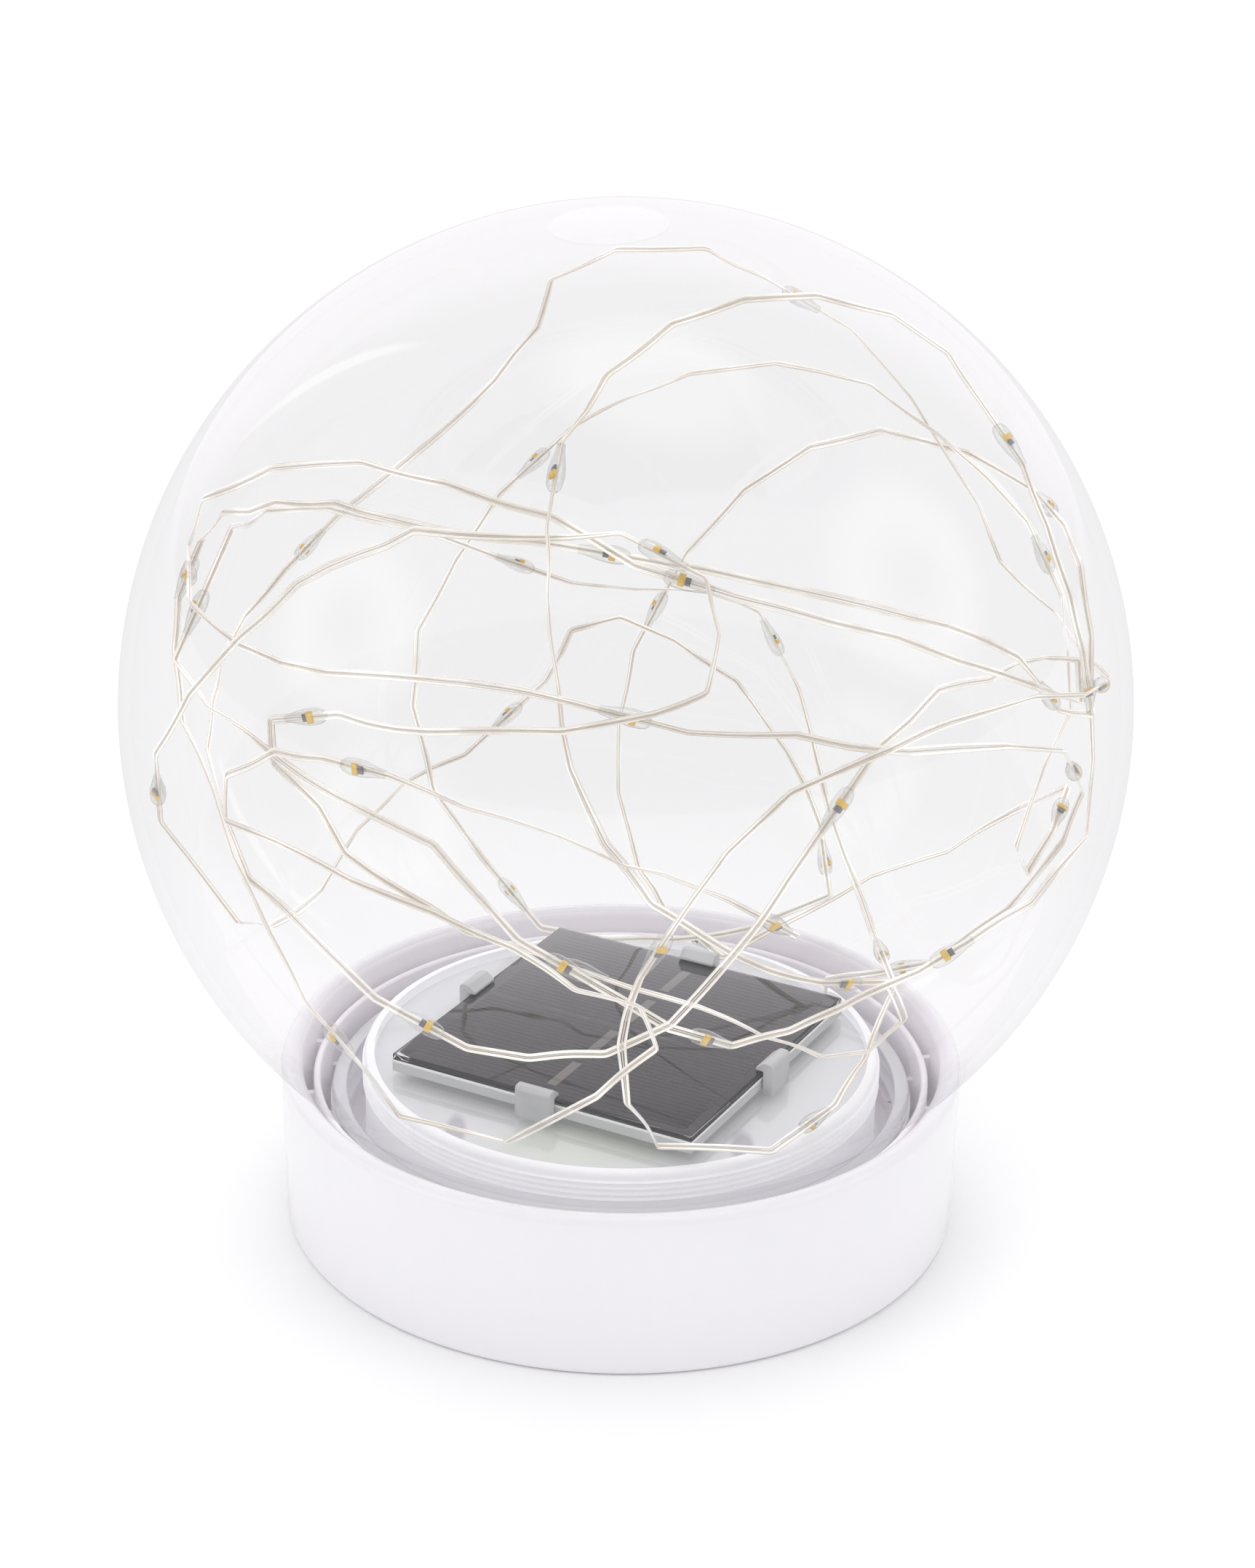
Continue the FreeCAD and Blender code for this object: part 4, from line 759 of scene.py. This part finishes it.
clips = copies_round(clip, 4)
# The cup's outer rim (milky_rim) glows with painted light; its frosted underside carries a painted glow and
# painted shade.
tray_finishes = (frosted_floor("frosted_plastic", frost),
                 clear_cast("tray_clear", (0.98, 0.98, 0.985), (0.94, 0.94, 0.95), 0.05, 0.06, 4.0, 0.5),
                 frosted("clip_plastic", (0.90, 0.905, 0.92), 0.55, 0.32),
                 milky("milky_rim", (0.66, 0.66, 0.675), 0.42))
for piece in [cup] + posts + clips:
    for finish in tray_finishes:
        piece.data.materials.append(finish)
for face in cup.data.polygons:
    across = Vector(face.center[:2]).length
    if face.center.z > tray_top - lap and across < tray_inner - 0.0002:
        face.material_index = 1
    elif across > tray_inner - 0.0002:
        face.material_index = 3
for piece in clips:
    for face in piece.data.polygons:
        face.material_index = 2
tray = joined("panel_tray_cup", [cup] + posts + copies_round(pip, 4) + clips)
turned_by(tray, panel_turn)
smoothed(tray)
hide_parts("panel_tray")
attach(tray, "base")


# Solar panel: a square board with a black face, four dark cell strips lying across it, a tinned ribbon that
# joins them in short lengths over the middle, and clear resin cast over it all with a rounded rim.
board_top = 0.0290
cell_margin = 0.0024
cell_gap = 0.0008
cell_count = 4
cell_thickness = 0.0003
tab_width = 0.0016
tab_thickness = 0.00015
tab_share = 0.72
finger_pitch = 0.00107
black_face = (0.030, 0.025, 0.033)
cut_edge_tray_reflection = (0.56, 0.57, 0.57)
cut_edge_top = (0.86, 0.87, 0.87)
edge_line = 0.0005
edge_blur = 0.0001
cell_dark = (0.032, 0.027, 0.036)
finger_tone = (0.125, 0.115, 0.130)


def block(name, low, high, rounding=0.0, segments=2):
    """A box between two corners, with its edges rounded."""
    bpy.ops.object.select_all(action="DESELECT")
    middle = [(a + b) / 2 for a, b in zip(low, high)]
    bpy.ops.mesh.primitive_cube_add(size=1, location=middle)
    piece = bpy.context.object
    piece.name = name
    piece.scale = [b - a for a, b in zip(low, high)]
    bpy.ops.object.transform_apply(location=True, rotation=False, scale=True)
    if rounding:
        eased(piece, rounding, segments)
    return piece


panel_board = block("solar_board_plate", (-panel_half, -panel_half, panel_under),
                    (panel_half, panel_half, board_top), 0.0001)
turned_by(panel_board, panel_turn)
panel_board.data.materials.append(moulded("board_black", black_face, 0.4))

# Cut edge of the board: a thin pale line at its top, and below it a grey that is partly the cut board and
# partly a painted reflection of the frosted tray.
edge_finish, start = new_finish("board_edge")
up = start.node("ShaderNodeSeparateXYZ", None, {0: whereabouts(start)}, "Z")
fray = clouds(start, 1400.0, 3.0)
top_line = ((up - (board_top - edge_line)) / edge_blur + (fray - 0.5) * 3.0).clamped()
close_body(start, {
    "Base Color": mixed(start, top_line, cut_edge_tray_reflection, cut_edge_top), "Roughness": 0.6 + fray * 0.2})
panel_board.data.materials.append(edge_finish)
for face in panel_board.data.polygons:
    face.material_index = 1 if abs(face.normal.z) < 0.5 else 0
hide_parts("solar_board")
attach(panel_board, "base")

cell_inside = panel_half - cell_margin
cell_depth = (cell_inside * 2 - cell_gap * (cell_count - 1)) / cell_count
strips = []
ribbons = []
for row in range(cell_count):
    front = -cell_inside + (cell_depth + cell_gap) * row
    strips.append(block("strip", (-cell_inside, front, board_top),
                        (cell_inside, front + cell_depth, board_top + cell_thickness), 0.00008))
    inset = cell_depth * (1 - tab_share) / 2
    ribbons.append(block("ribbon", (-tab_width / 2, front + inset, board_top + cell_thickness),
                         (tab_width / 2, front + cell_depth - inset,
                          board_top + cell_thickness + tab_thickness), 0.00005))
cells = joined("solar_cell_strips", strips)
turned_by(cells, panel_turn)
tabs = joined("cell_ribbons", ribbons)
turned_by(tabs, panel_turn)

cell_finish, start = new_finish("solar_cell")
lined_up = start.node("ShaderNodeMapping", None, {
    "Vector": whereabouts(start), "Rotation": (0, 0, -panel_turn)})
back = start.node("ShaderNodeSeparateXYZ", None, {0: lined_up}, "Y")
wave = start.node("ShaderNodeMath", {"operation": "SINE"}, {0: back * (math.tau / finger_pitch)})
finger = ((wave - 0.2) * 1.6).clamped()
silicon = mixed(start, clouds(start, 90.0, 4.0), [part * 0.8 for part in cell_dark],
                [part * 1.2 for part in cell_dark])
close_body(start, {
    "Base Color": mixed(start, finger * 0.8, silicon, finger_tone), "Roughness": 0.38 + finger * 0.1,
    "Metallic": 0.1})
cells.data.materials.append(cell_finish)
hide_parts("solar_cells")
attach(cells, "base")
tabs.data.materials.append(moulded("tinned_copper", (0.90, 0.86, 0.79), 0.5, mottling=0.3))
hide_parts("cell_tabs")
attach(tabs, "base")


def true_glass(name, tint, roughness, ior=1.5):
    """Clear resin that bends what is seen through it."""
    material, start = new_finish(name)
    wave = clouds(start, 30.0, 1.0)
    close_body(start, {
        "Base Color": (*tint, 1), "Roughness": roughness + wave * 0.02, "IOR": ior,
        "Transmission Weight": 1.0, "Normal": bumped(start, wave, 0.00005, 0.1)})
    return material


resin = block("panel_resin_cast", (-panel_half, -panel_half, board_top + lap),
              (panel_half, panel_half, panel_top), 0.0003, 3)
turned_by(resin, panel_turn)
smoothed(resin, 50)
resin.data.materials.append(true_glass("clear_resin", (0.93, 0.92, 0.94), 0.01))
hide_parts("panel_resin")
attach(resin, "base")


# Wire grommet: a soft milky bush of silicone in the tray, which the light string comes up through. Its
# flange lies on the tray and keeps the water out.
grommet_low, grommet_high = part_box("wire_grommet")
grommet_middle = (grommet_low + grommet_high) / 2
grommet_flange = (grommet_high.x - grommet_low.x) / 2
grommet_stem = grommet_flange - 0.0008
grommet = turned("wire_grommet_bush", softened([
    (0, grommet_low.z, 0),
    (grommet_stem, grommet_low.z, 0.0002),
    (grommet_stem, tray_top, 0),
    (grommet_flange, tray_top, 0.0001),
    (grommet_flange, grommet_high.z, 0.0006),
    (0, grommet_high.z, 0),
], False), 40)
grommet.data.transform(Matrix.Translation((grommet_middle.x, grommet_middle.y, 0)))
smoothed(grommet)
grommet.data.materials.append(frosted("grommet_silicone", (0.75, 0.75, 0.76), 0.2, 0.4))
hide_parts("wire_grommet")
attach(grommet, "base")


# Light string: thin twin wire in a clear sleeve, 3.58 m of it, pushed loosely into the globe by hand. It
# comes up through the grommet and goes round the inside of the globe in loose bent loops. Its 42 light
# drops are cast round both strands, each over a small light chip.
globe_wall = 0.0018
globe_bore = globe_radius - globe_wall
lead_rise = 0.003
kink_angle = math.radians(8)
kink_reach = 0.0011
kink_share = 0.3
crook_share = 0.035
shortest_crooked = 0.006
strand_radius = 0.00022
strand_gap = 0.00035
spread_share = 0.4
spread_rate = 97.0
# Size, rate along the string and shift of the two slow twists of the strands
twists = ((0.8, 23.0, 0.0), (0.5, 61.0, 1.0))
web_share = 0.5
drop_radius = 0.0012
drop_length = 0.0068
drop_neck = 0.00058
drop_widest = 0.34
chip_length = 0.0009
chip_width = 0.0017
chip_height = 0.0005
chip_lift = strand_radius * 2.2
pad_length = 0.0008
pad_gap = 0.00005
pad_share = 0.32
wire_edge_painted_shade = (0.50, 0.44, 0.38)

# Where the string goes: bearing and latitude about the globe's middle in degrees, then its distance from
# there in percent of the globe's inner radius
string_route = (
    (18, -50, 90), (13, -43, 95), (5, -30, 95), (-9, -14, 93), (-11, -6, 94), (-28, 6, 95), (-42, 11, 96),
    (-57, 14, 96), (-71, 18, 97), (-83, 19, 96), (-96, 22, 96), (-108, 23, 96), (-127, 21, 96),
    (-144, 20, 95), (-160, 20, 95), (-179, 21, 94), (-173, 29, 96), (-152, 39, 97), (-135, 44, 96),
    (-118, 44, 96), (-101, 42, 95), (-89, 37, 94), (-76, 33, 95), (-64, 29, 96), (-47, 22, 95),
    (-32, 15, 94), (-7, 4, 92), (-5, 9, 92), (-11, 12, 86), (-35, 17, 87), (-48, 19, 90), (-60, 15, 94),
    (-72, 2, 95), (-78, -8, 93), (-84, -18, 91), (-92, -24, 90), (-102, -25, 91), (-110, -24, 92),
    (-122, -19, 92), (-129, -11, 94), (-139, -7, 94), (-146, -1, 92), (-160, 1, 87), (-169, 4, 84),
    (172, 3, 85), (158, 4, 88), (145, 6, 92), (134, 11, 94), (119, 20, 95), (111, 29, 95), (106, 39, 95),
    (106, 50, 96), (94, 62, 95), (68, 65, 95), (60, 55, 95), (49, 43, 96), (42, 32, 95), (34, 17, 95),
    (30, 10, 94), (17, 7, 95), (-7, 7, 98), (-26, 12, 99), (-46, 16, 98), (-60, 15, 98), (-72, 12, 97),
    (-79, 6, 96), (-83, 0, 95), (-88, -9, 95), (-90, -20, 93), (-89, -35, 90), (-82, -54, 90),
    (-59, -52, 95), (-36, -54, 92), (-16, -54, 90), (3, -48, 87), (28, -46, 90), (47, -38, 93),
    (58, -27, 94), (64, -17, 95), (71, -7, 94), (79, -5, 95), (89, -5, 94), (98, -4, 94), (110, 1, 95),
    (122, 7, 94), (138, 14, 91), (157, 20, 88), (-174, 27, 88), (-165, 11, 93), (-148, 11, 94),
    (-133, 10, 95), (-124, 8, 95), (-111, 5, 95), (-105, -2, 93), (-102, -6, 92), (-93, -12, 91),
    (-84, -20, 89), (-75, -25, 88), (-68, -22, 90), (-62, -19, 91), (-55, -18, 90), (-51, -16, 92),
    (-45, -13, 94), (-34, -11, 96), (-17, -9, 97), (-10, -2, 95), (-7, 5, 94), (-5, 12, 95), (-2, 20, 96),
    (10, 21, 97), (21, 22, 98), (36, 23, 98), (52, 23, 97), (64, 18, 97), (74, 10, 97), (82, 0, 97),
    (89, -14, 96), (91, -24, 96), (91, -34, 96), (87, -45, 95), (80, -52, 93), (59, -60, 87), (49, -47, 94),
    (41, -39, 95), (29, -31, 96), (16, -20, 94), (-3, -9, 92), (-14, -11, 90), (-16, -17, 88),
    (-28, -8, 87), (-19, 0, 87), (-7, 3, 90), (-5, 10, 90), (10, 12, 93), (20, 19, 94), (28, 24, 93),
    (37, 28, 93), (48, 34, 93), (66, 34, 94), (81, 29, 96), (91, 24, 96), (98, 19, 97), (108, 9, 97),
    (114, 0, 97), (120, -9, 97), (123, -19, 95), (123, -31, 94), (118, -42, 93), (110, -54, 93),
    (95, -58, 90), (75, -58, 88), (56, -54, 87), (41, -45, 86), (53, -35, 90), (63, -26, 91), (73, -17, 91),
    (83, -12, 92), (91, -9, 93), (98, -11, 95), (102, -18, 95), (116, -27, 95), (127, -29, 96),
    (139, -33, 95), (153, -38, 95), (174, -36, 93), (-160, -24, 90), (-166, -10, 97), (-158, 2, 98),
    (-150, 12, 97), (-142, 21, 97), (-135, 29, 97), (-127, 34, 97), (-120, 38, 97), (-106, 39, 96),
    (-91, 40, 97), (-80, 35, 97), (-79, 29, 97), (-81, 23, 98), (-87, 21, 98), (-97, 19, 98),
    (-108, 18, 97), (-116, 17, 97), (-124, 17, 96), (-134, 14, 96), (-136, 8, 91), (-128, 5, 91),
    (-123, 1, 93), (-115, -2, 93), (-108, -6, 92), (-99, -9, 90), (-89, -15, 86), (-80, -18, 87),
    (-70, -25, 87), (-58, -33, 87), (-48, -35, 88), (-46, -28, 89), (-53, -19, 88), (-64, -16, 88),
    (-72, -12, 89), (-80, -6, 91), (-87, 0, 94), (-92, 7, 95), (-96, 15, 95), (-98, 24, 94), (-100, 33, 96),
    (-101, 40, 98), (-101, 50, 98), (-95, 59, 98), (-79, 67, 98), (-52, 70, 98), (-24, 67, 98),
    (-6, 59, 98), (-4, 51, 98), (-10, 45, 97), (-13, 37, 97), (-18, 30, 97), (-20, 22, 97), (-16, 14, 95),
    (-8, 3, 94), (-17, 7, 89), (-29, 18, 89), (-46, 26, 93), (-57, 30, 94), (-69, 34, 93), (-80, 37, 92),
    (-87, 38, 92), (-97, 39, 93), (-110, 39, 94), (-125, 39, 95), (-137, 39, 94), (-150, 36, 94),
    (-167, 30, 93), (-180, 22, 92), (-177, 15, 93), (-171, 10, 92), (-160, 5, 92), (-146, 2, 94),
    (-140, -4, 96), (-135, -12, 96), (-132, -21, 96), (-128, -31, 95), (-133, -47, 95), (-114, -53, 92),
    (-93, -28, 95), (-86, -18, 97), (-88, -12, 97), (-95, -10, 97), (-102, -6, 95), (-111, -3, 95),
    (-121, -1, 96), (-131, 1, 97), (-141, 0, 96), (-140, 6, 97), (-132, 11, 97), (-125, 12, 97),
    (-116, 12, 97), (-107, 10, 97), (-97, 8, 97), (-90, 5, 97), (-82, 1, 91), (-74, -5, 85), (-65, -13, 79),
)
# Runs of that route, counted from zero, with a drop in their middle
drop_runs = (2, 6, 11, 16, 23, 27, 33, 39, 48, 56, 62, 68, 73, 76, 80, 84, 89, 96, 98, 103, 111,
             117, 122, 128, 135, 143, 149, 154, 161, 168, 176, 184, 191, 198, 207, 215, 219, 227,
             234, 241, 256, 262)

string_foot = Vector((grommet_middle.x, grommet_middle.y, grommet_high.z))
string_corners = [string_foot, string_foot + Vector((0, 0, lead_rise))]
for bearing, latitude, percent in string_route:
    reach = globe_bore * (percent / 100)
    level = reach * math.cos(math.radians(latitude))
    string_corners.append(globe_middle + Vector((level * math.cos(math.radians(bearing)),
                                                 level * math.sin(math.radians(bearing)),
                                                 reach * math.sin(math.radians(latitude)))))

# Between two corners the wire is a little crooked, but for the stretches that hold a drop
crooks = random.Random(5)
bends = string_corners[:2]
for number in range(1, len(string_corners) - 1):
    here, there = string_corners[number:number + 2]
    run = there - here
    outward = ((here + there) / 2 - globe_middle).normalized()
    aside = run.cross(outward).normalized()
    shift = (aside * crooks.uniform(-1, 1) - outward * crooks.uniform(0, 0.5)) * run.length * crook_share
    if number not in drop_runs and run.length > shortest_crooked:
        bends.append((here + there) / 2 + shift)
    bends.append(there)

# The wire keeps a kink wherever it was bent: two more points hold the line close to such a corner
route = bends[:1]
for before, here, after in zip(bends, bends[1:], bends[2:]):
    back = before - here
    ahead = after - here
    if back.angle(-ahead) > kink_angle:
        route += [here + back * min(kink_reach / back.length, kink_share), here,
                  here + ahead * min(kink_reach / ahead.length, kink_share)]
    else:
        route.append(here)
route.append(bends[-1])


def laid_out(curve, kind, places):
    """A spline of this kind through the places."""
    spline = curve.splines.new(kind)
    spline.points.add(len(places) - 1)
    for point, place in zip(spline.points, places):
        point.co = (*place, 1)
    return spline


line_data = bpy.data.curves.new("string_line", "CURVE")
line_data.dimensions = "3D"
line_data.resolution_u = 3
spline = laid_out(line_data, "NURBS", route)
spline.order_u = 3
spline.use_endpoint_u = True
line = bpy.data.objects.new("string_line", line_data)
line_mesh = bpy.data.meshes.new_from_object(line)
string_path = [vertex.co.copy() for vertex in line_mesh.vertices]
bpy.data.objects.remove(line)
bpy.data.meshes.remove(line_mesh)

# The two strands lie side by side along that line, mostly flat to the globe's wall, and spread a little
# here and there
headings = []
for number in range(len(string_path)):
    ahead = string_path[min(number + 1, len(string_path) - 1)]
    behind = string_path[max(number - 1, 0)]
    headings.append((ahead - behind).normalized())
aside = headings[0].orthogonal().normalized()
travelled = 0.0
strands = ([], [])
sides = []
spreads = []
for number, (place, heading) in enumerate(zip(string_path, headings)):
    if number:
        travelled += (place - string_path[number - 1]).length
        aside = headings[number - 1].rotation_difference(heading) @ aside
    flat = heading.cross(place - globe_middle).normalized()
    if flat.dot(aside) < 0:
        flat = -flat
    aside = aside.lerp(flat, 0.2)
    aside = (aside - heading * aside.dot(heading)).normalized()
    twist = sum(size * math.sin(rate * travelled + shift) for size, rate, shift in twists)
    spread = strand_gap * (1.0 + spread_share * (0.5 + 0.5 * math.sin(spread_rate * travelled + 2.0)) ** 4)
    side = Quaternion(heading, twist) @ aside
    sides.append(side)
    spreads.append(spread)
    strands[0].append(place + side * spread)
    strands[1].append(place - side * spread)

wire_data = bpy.data.curves.new("light_wire_strands", "CURVE")
wire_data.dimensions = "3D"
wire_data.bevel_depth = strand_radius
wire_data.bevel_resolution = 1
wire_data.use_fill_caps = True
for strand, thickness, finish_number in ((strands[0], 1.0, 0), (strands[1], 1.0, 0),
                                         (string_path, web_share, 1)):
    spline = laid_out(wire_data, "POLY", strand)
    spline.material_index = finish_number
    for point in spline.points:
        point.radius = thickness
wire_finish, start = new_finish("sleeved_wire")
# Painted reflection: stretches along the wire are lighter or darker, as if they mirrored bright or dark
# surroundings.
painted_reflection_stretches = ((clouds(start, 70.0, 3.0) - 0.38) * 5.0).clamped()
silver = mixed(start, painted_reflection_stretches, (0.74, 0.70, 0.63), (1.0, 0.985, 0.93))
# Painted shade: each strand is darker towards its edges.
out = start.node("ShaderNodeAttribute", {"attribute_name": "strand_edge"}, None, "Fac")
shade = mixed(start, ((out - 0.6) / 0.4).clamped() * 0.8, silver, wire_edge_painted_shade)
# The wire also glows a little with painted light.
close_body(start, {
    "Base Color": shade, "Metallic": 0.1, "Roughness": 0.24 + (clouds(start, 1500.0, 2.0) - 0.5) * 0.05,
    "Coat Weight": 1.0, "Coat Roughness": 0.05, "Coat IOR": 1.6, "Emission Color": shade,
    "Emission Strength": 0.22})
wire_data.materials.append(wire_finish)

# The thin middle line between the two strands is painted shade: a dark strand where the gap between them
# lies in shadow.
painted_gap_shade, start = new_finish("wire_gap_painted_shade")
stretch = clouds(start, 60.0, 2.0)
close_body(start, {
    "Base Color": mixed(start, stretch, (0.36, 0.32, 0.28), (0.60, 0.56, 0.51)),
    "Roughness": 0.4 + stretch * 0.1})
wire_data.materials.append(painted_gap_shade)
wire = bpy.data.objects.new("light_wire_strands", wire_data)
bpy.context.collection.objects.link(wire)
pick(wire)
bpy.ops.object.convert(target="MESH")
wire = bpy.context.object
smoothed(wire, 80)

# Each strand's share of its own half width, 1 at its outer and inner edge, for the painted shade along the
# strand edges
path_tree = KDTree(len(string_path))
for number, place in enumerate(string_path):
    path_tree.insert(place, number)
path_tree.balance()
strand_edge = wire.data.attributes.new("strand_edge", "FLOAT", "POINT")
for vertex in wire.data.vertices:
    place, number, _ = path_tree.find(vertex.co)
    across = abs((vertex.co - place).dot(sides[number]))
    strand_edge.data[vertex.index].value = abs(across - spreads[number]) / strand_radius

# A drop is clear resin: round at the end where its widest part is, drawn out towards its other end
drop_outline = [(0, -drop_length * drop_widest)]
drop_steps = 14
for number in range(drop_steps + 1):
    along = number / drop_steps
    height = drop_length * (along - drop_widest)
    if along < drop_widest:
        swell = math.sqrt(1 - (1 - along / drop_widest) ** 2)
    else:
        swell = (0.5 + 0.5 * math.cos(math.pi * (along - drop_widest) / (1 - drop_widest))) ** 0.8
    drop_outline.append((drop_neck + (drop_radius - drop_neck) * swell, height))
drop_outline.append((0, drop_length * (1 - drop_widest)))
first_drop = turned("drop", drop_outline, 20)
first_chip = block("chip", (-chip_width / 2, -chip_height / 2, -chip_length / 2),
                   (chip_width / 2, chip_height / 2, chip_length / 2), 0.00012)
first_pad = block("chip_base", (-chip_width * pad_share, -chip_height / 2, chip_length / 2 + pad_gap),
                  (chip_width * pad_share, chip_height / 4, chip_length / 2 + pad_length), 0.00006)

chip_finish, start = new_finish("chip_phosphor")
grain = clouds(start, 2200.0, 2.0)
close_body(start, {
    "Base Color": mixed(start, grain, (0.90, 0.56, 0.09), (0.97, 0.68, 0.16)),
    "Roughness": 0.45 + grain * 0.1})
first_chip.data.materials.append(chip_finish)
first_pad.data.materials.append(moulded("chip_solder", (0.24, 0.22, 0.25), 0.4, mottling=0.2))

drops = []
chips = []
for run in drop_runs:
    middle = (string_corners[run] + string_corners[run + 1]) / 2
    nearest = min(range(len(string_path)), key=lambda number: (string_path[number] - middle).length)
    heading = headings[nearest]
    side = sides[nearest]
    outward = side.cross(heading)
    if outward.dot(string_path[nearest] - globe_middle) < 0:
        outward = -outward
    turn = Matrix((side, outward, heading)).transposed()
    if turn.determinant() < 0:
        turn = Matrix((-side, outward, heading)).transposed()
    seat = Matrix.Translation(string_path[nearest]) @ turn.to_4x4()
    for source, group, lift in ((first_drop, drops, 0), (first_chip, chips, chip_lift),
                                (first_pad, chips, chip_lift)):
        copy = source.copy()
        copy.data = source.data.copy()
        copy.data.transform(seat @ Matrix.Translation((0, lift, 0)))
        bpy.context.collection.objects.link(copy)
        group.append(copy)
for source in (first_drop, first_chip, first_pad):
    bpy.data.objects.remove(source)
drop_group = smoothed(joined("light_drop_castings", drops), 60)
chip_group = joined("light_chip_pieces", chips)

drop_group.data.materials.append(clear_cast("clear_drop", (0.95, 0.955, 0.95), (0.60, 0.58, 0.55), 0.12,
                                            0.05, 3.0, 0.4, 2.6))
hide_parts("light_wire")
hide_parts("light_drops")
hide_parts("light_chips")
for piece in (wire, drop_group, chip_group):
    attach(piece, "base")


# Globe: one clear blown moulding, a ball that runs into a short neck with a thread and a collar. The collar
# stands on the neck seal, and the thread holds the globe in the base.
def arc(middle, radius, first, last, count):
    """Points of a round stretch of an outline, its angles in degrees from the outward direction."""
    points = []
    for number in range(count + 1):
        angle = math.radians(first + (last - first) * number / count)
        points.append((middle[0] + radius * math.cos(angle), middle[1] + radius * math.sin(angle)))
    return points


neck_radius = 0.0426
neck_bore = 0.0408
neck_foot = 0.0110
neck_ridge_sink = 0.0001
foot_chamfer = 0.0003
collar_radius = 0.0452
collar_under = 0.0208
collar_chamfer = 0.0004
ball_steps = 84
middle_2d = (0, globe_middle.z)
outer_start = -math.degrees(math.acos(collar_radius / globe_radius))
inner_start = -math.degrees(math.acos(neck_bore / globe_bore))
globe_outline = arc(middle_2d, globe_bore, 90, inner_start, ball_steps) + [
    (neck_bore, neck_foot + foot_chamfer),
    (neck_bore + foot_chamfer, neck_foot),
    (neck_radius - foot_chamfer, neck_foot),
    (neck_radius, neck_foot + foot_chamfer),
    (neck_radius, collar_under - foot_chamfer),
    (neck_radius + foot_chamfer, collar_under),
    (collar_radius - collar_chamfer, collar_under),
    (collar_radius, collar_under + collar_chamfer),
] + arc(middle_2d, globe_radius, outer_start, 90, ball_steps)
globe_outline[0] = (0, globe_middle.z + globe_bore)
globe_outline[-1] = (0, globe_middle.z + globe_radius)
ball = turned("globe_ball", globe_outline, 192)
ridge = thread_ridge("neck_thread", neck_radius - neck_ridge_sink, neck_radius + ridge_height, thread_pitch,
                     thread_turns, web_top + thread_start - thread_pitch / 2)
turned_by(ridge, rib_bearing)
globe = smoothed(joined("globe_ball", [ball, ridge]), 50)

outer_tint = (0.958, 0.954, 0.959)
outer_edge_tint = (0.885, 0.876, 0.888)
inner_tint = (0.998, 0.997, 0.998)
inner_edge_tint = (0.99, 0.99, 0.99)
globe.data.materials.append(clear_cast("clear_globe", outer_tint, outer_edge_tint, 0.04, 0.015))
globe.data.materials.append(clear_cast("clear_globe_inside", inner_tint, inner_edge_tint, 0.004, 0.03, 5.0,
                                       0.05))
for face in globe.data.polygons:
    face.material_index = 1 if face.normal.dot(face.center - globe_middle) < 0 else 0
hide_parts("globe")
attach(globe, "globe")


# Top label: a bare round disc of clear film. It is stuck on the globe just beside its top and follows the
# curve of the ball.
label_radius = 0.0085
label_film = 0.00005
label_thickness = 0.00025
label_tilt = math.radians(5.6)
label_bearing = math.radians(-116.9)
film_low = globe_radius + label_film
film_high = film_low + label_thickness
low_edge = math.degrees(math.acos(label_radius / film_low))
high_edge = math.degrees(math.acos(label_radius / film_high))
label = turned("top_label_film", arc((0, 0), film_low, 90, low_edge, 8)
               + arc((0, 0), film_high, high_edge, 90, 8), 72)
label_axis = Vector((-math.sin(label_bearing), math.cos(label_bearing), 0))
label.data.transform(Matrix.Translation(globe_middle) @ Matrix.Rotation(label_tilt, 4, label_axis))
smoothed(label, 50)
label.data.materials.append(clear_cast("clear_film", (0.975, 0.977, 0.976), (0.95, 0.95, 0.95), 0.05, 0.1))
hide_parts("top_label")
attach(label, "globe")
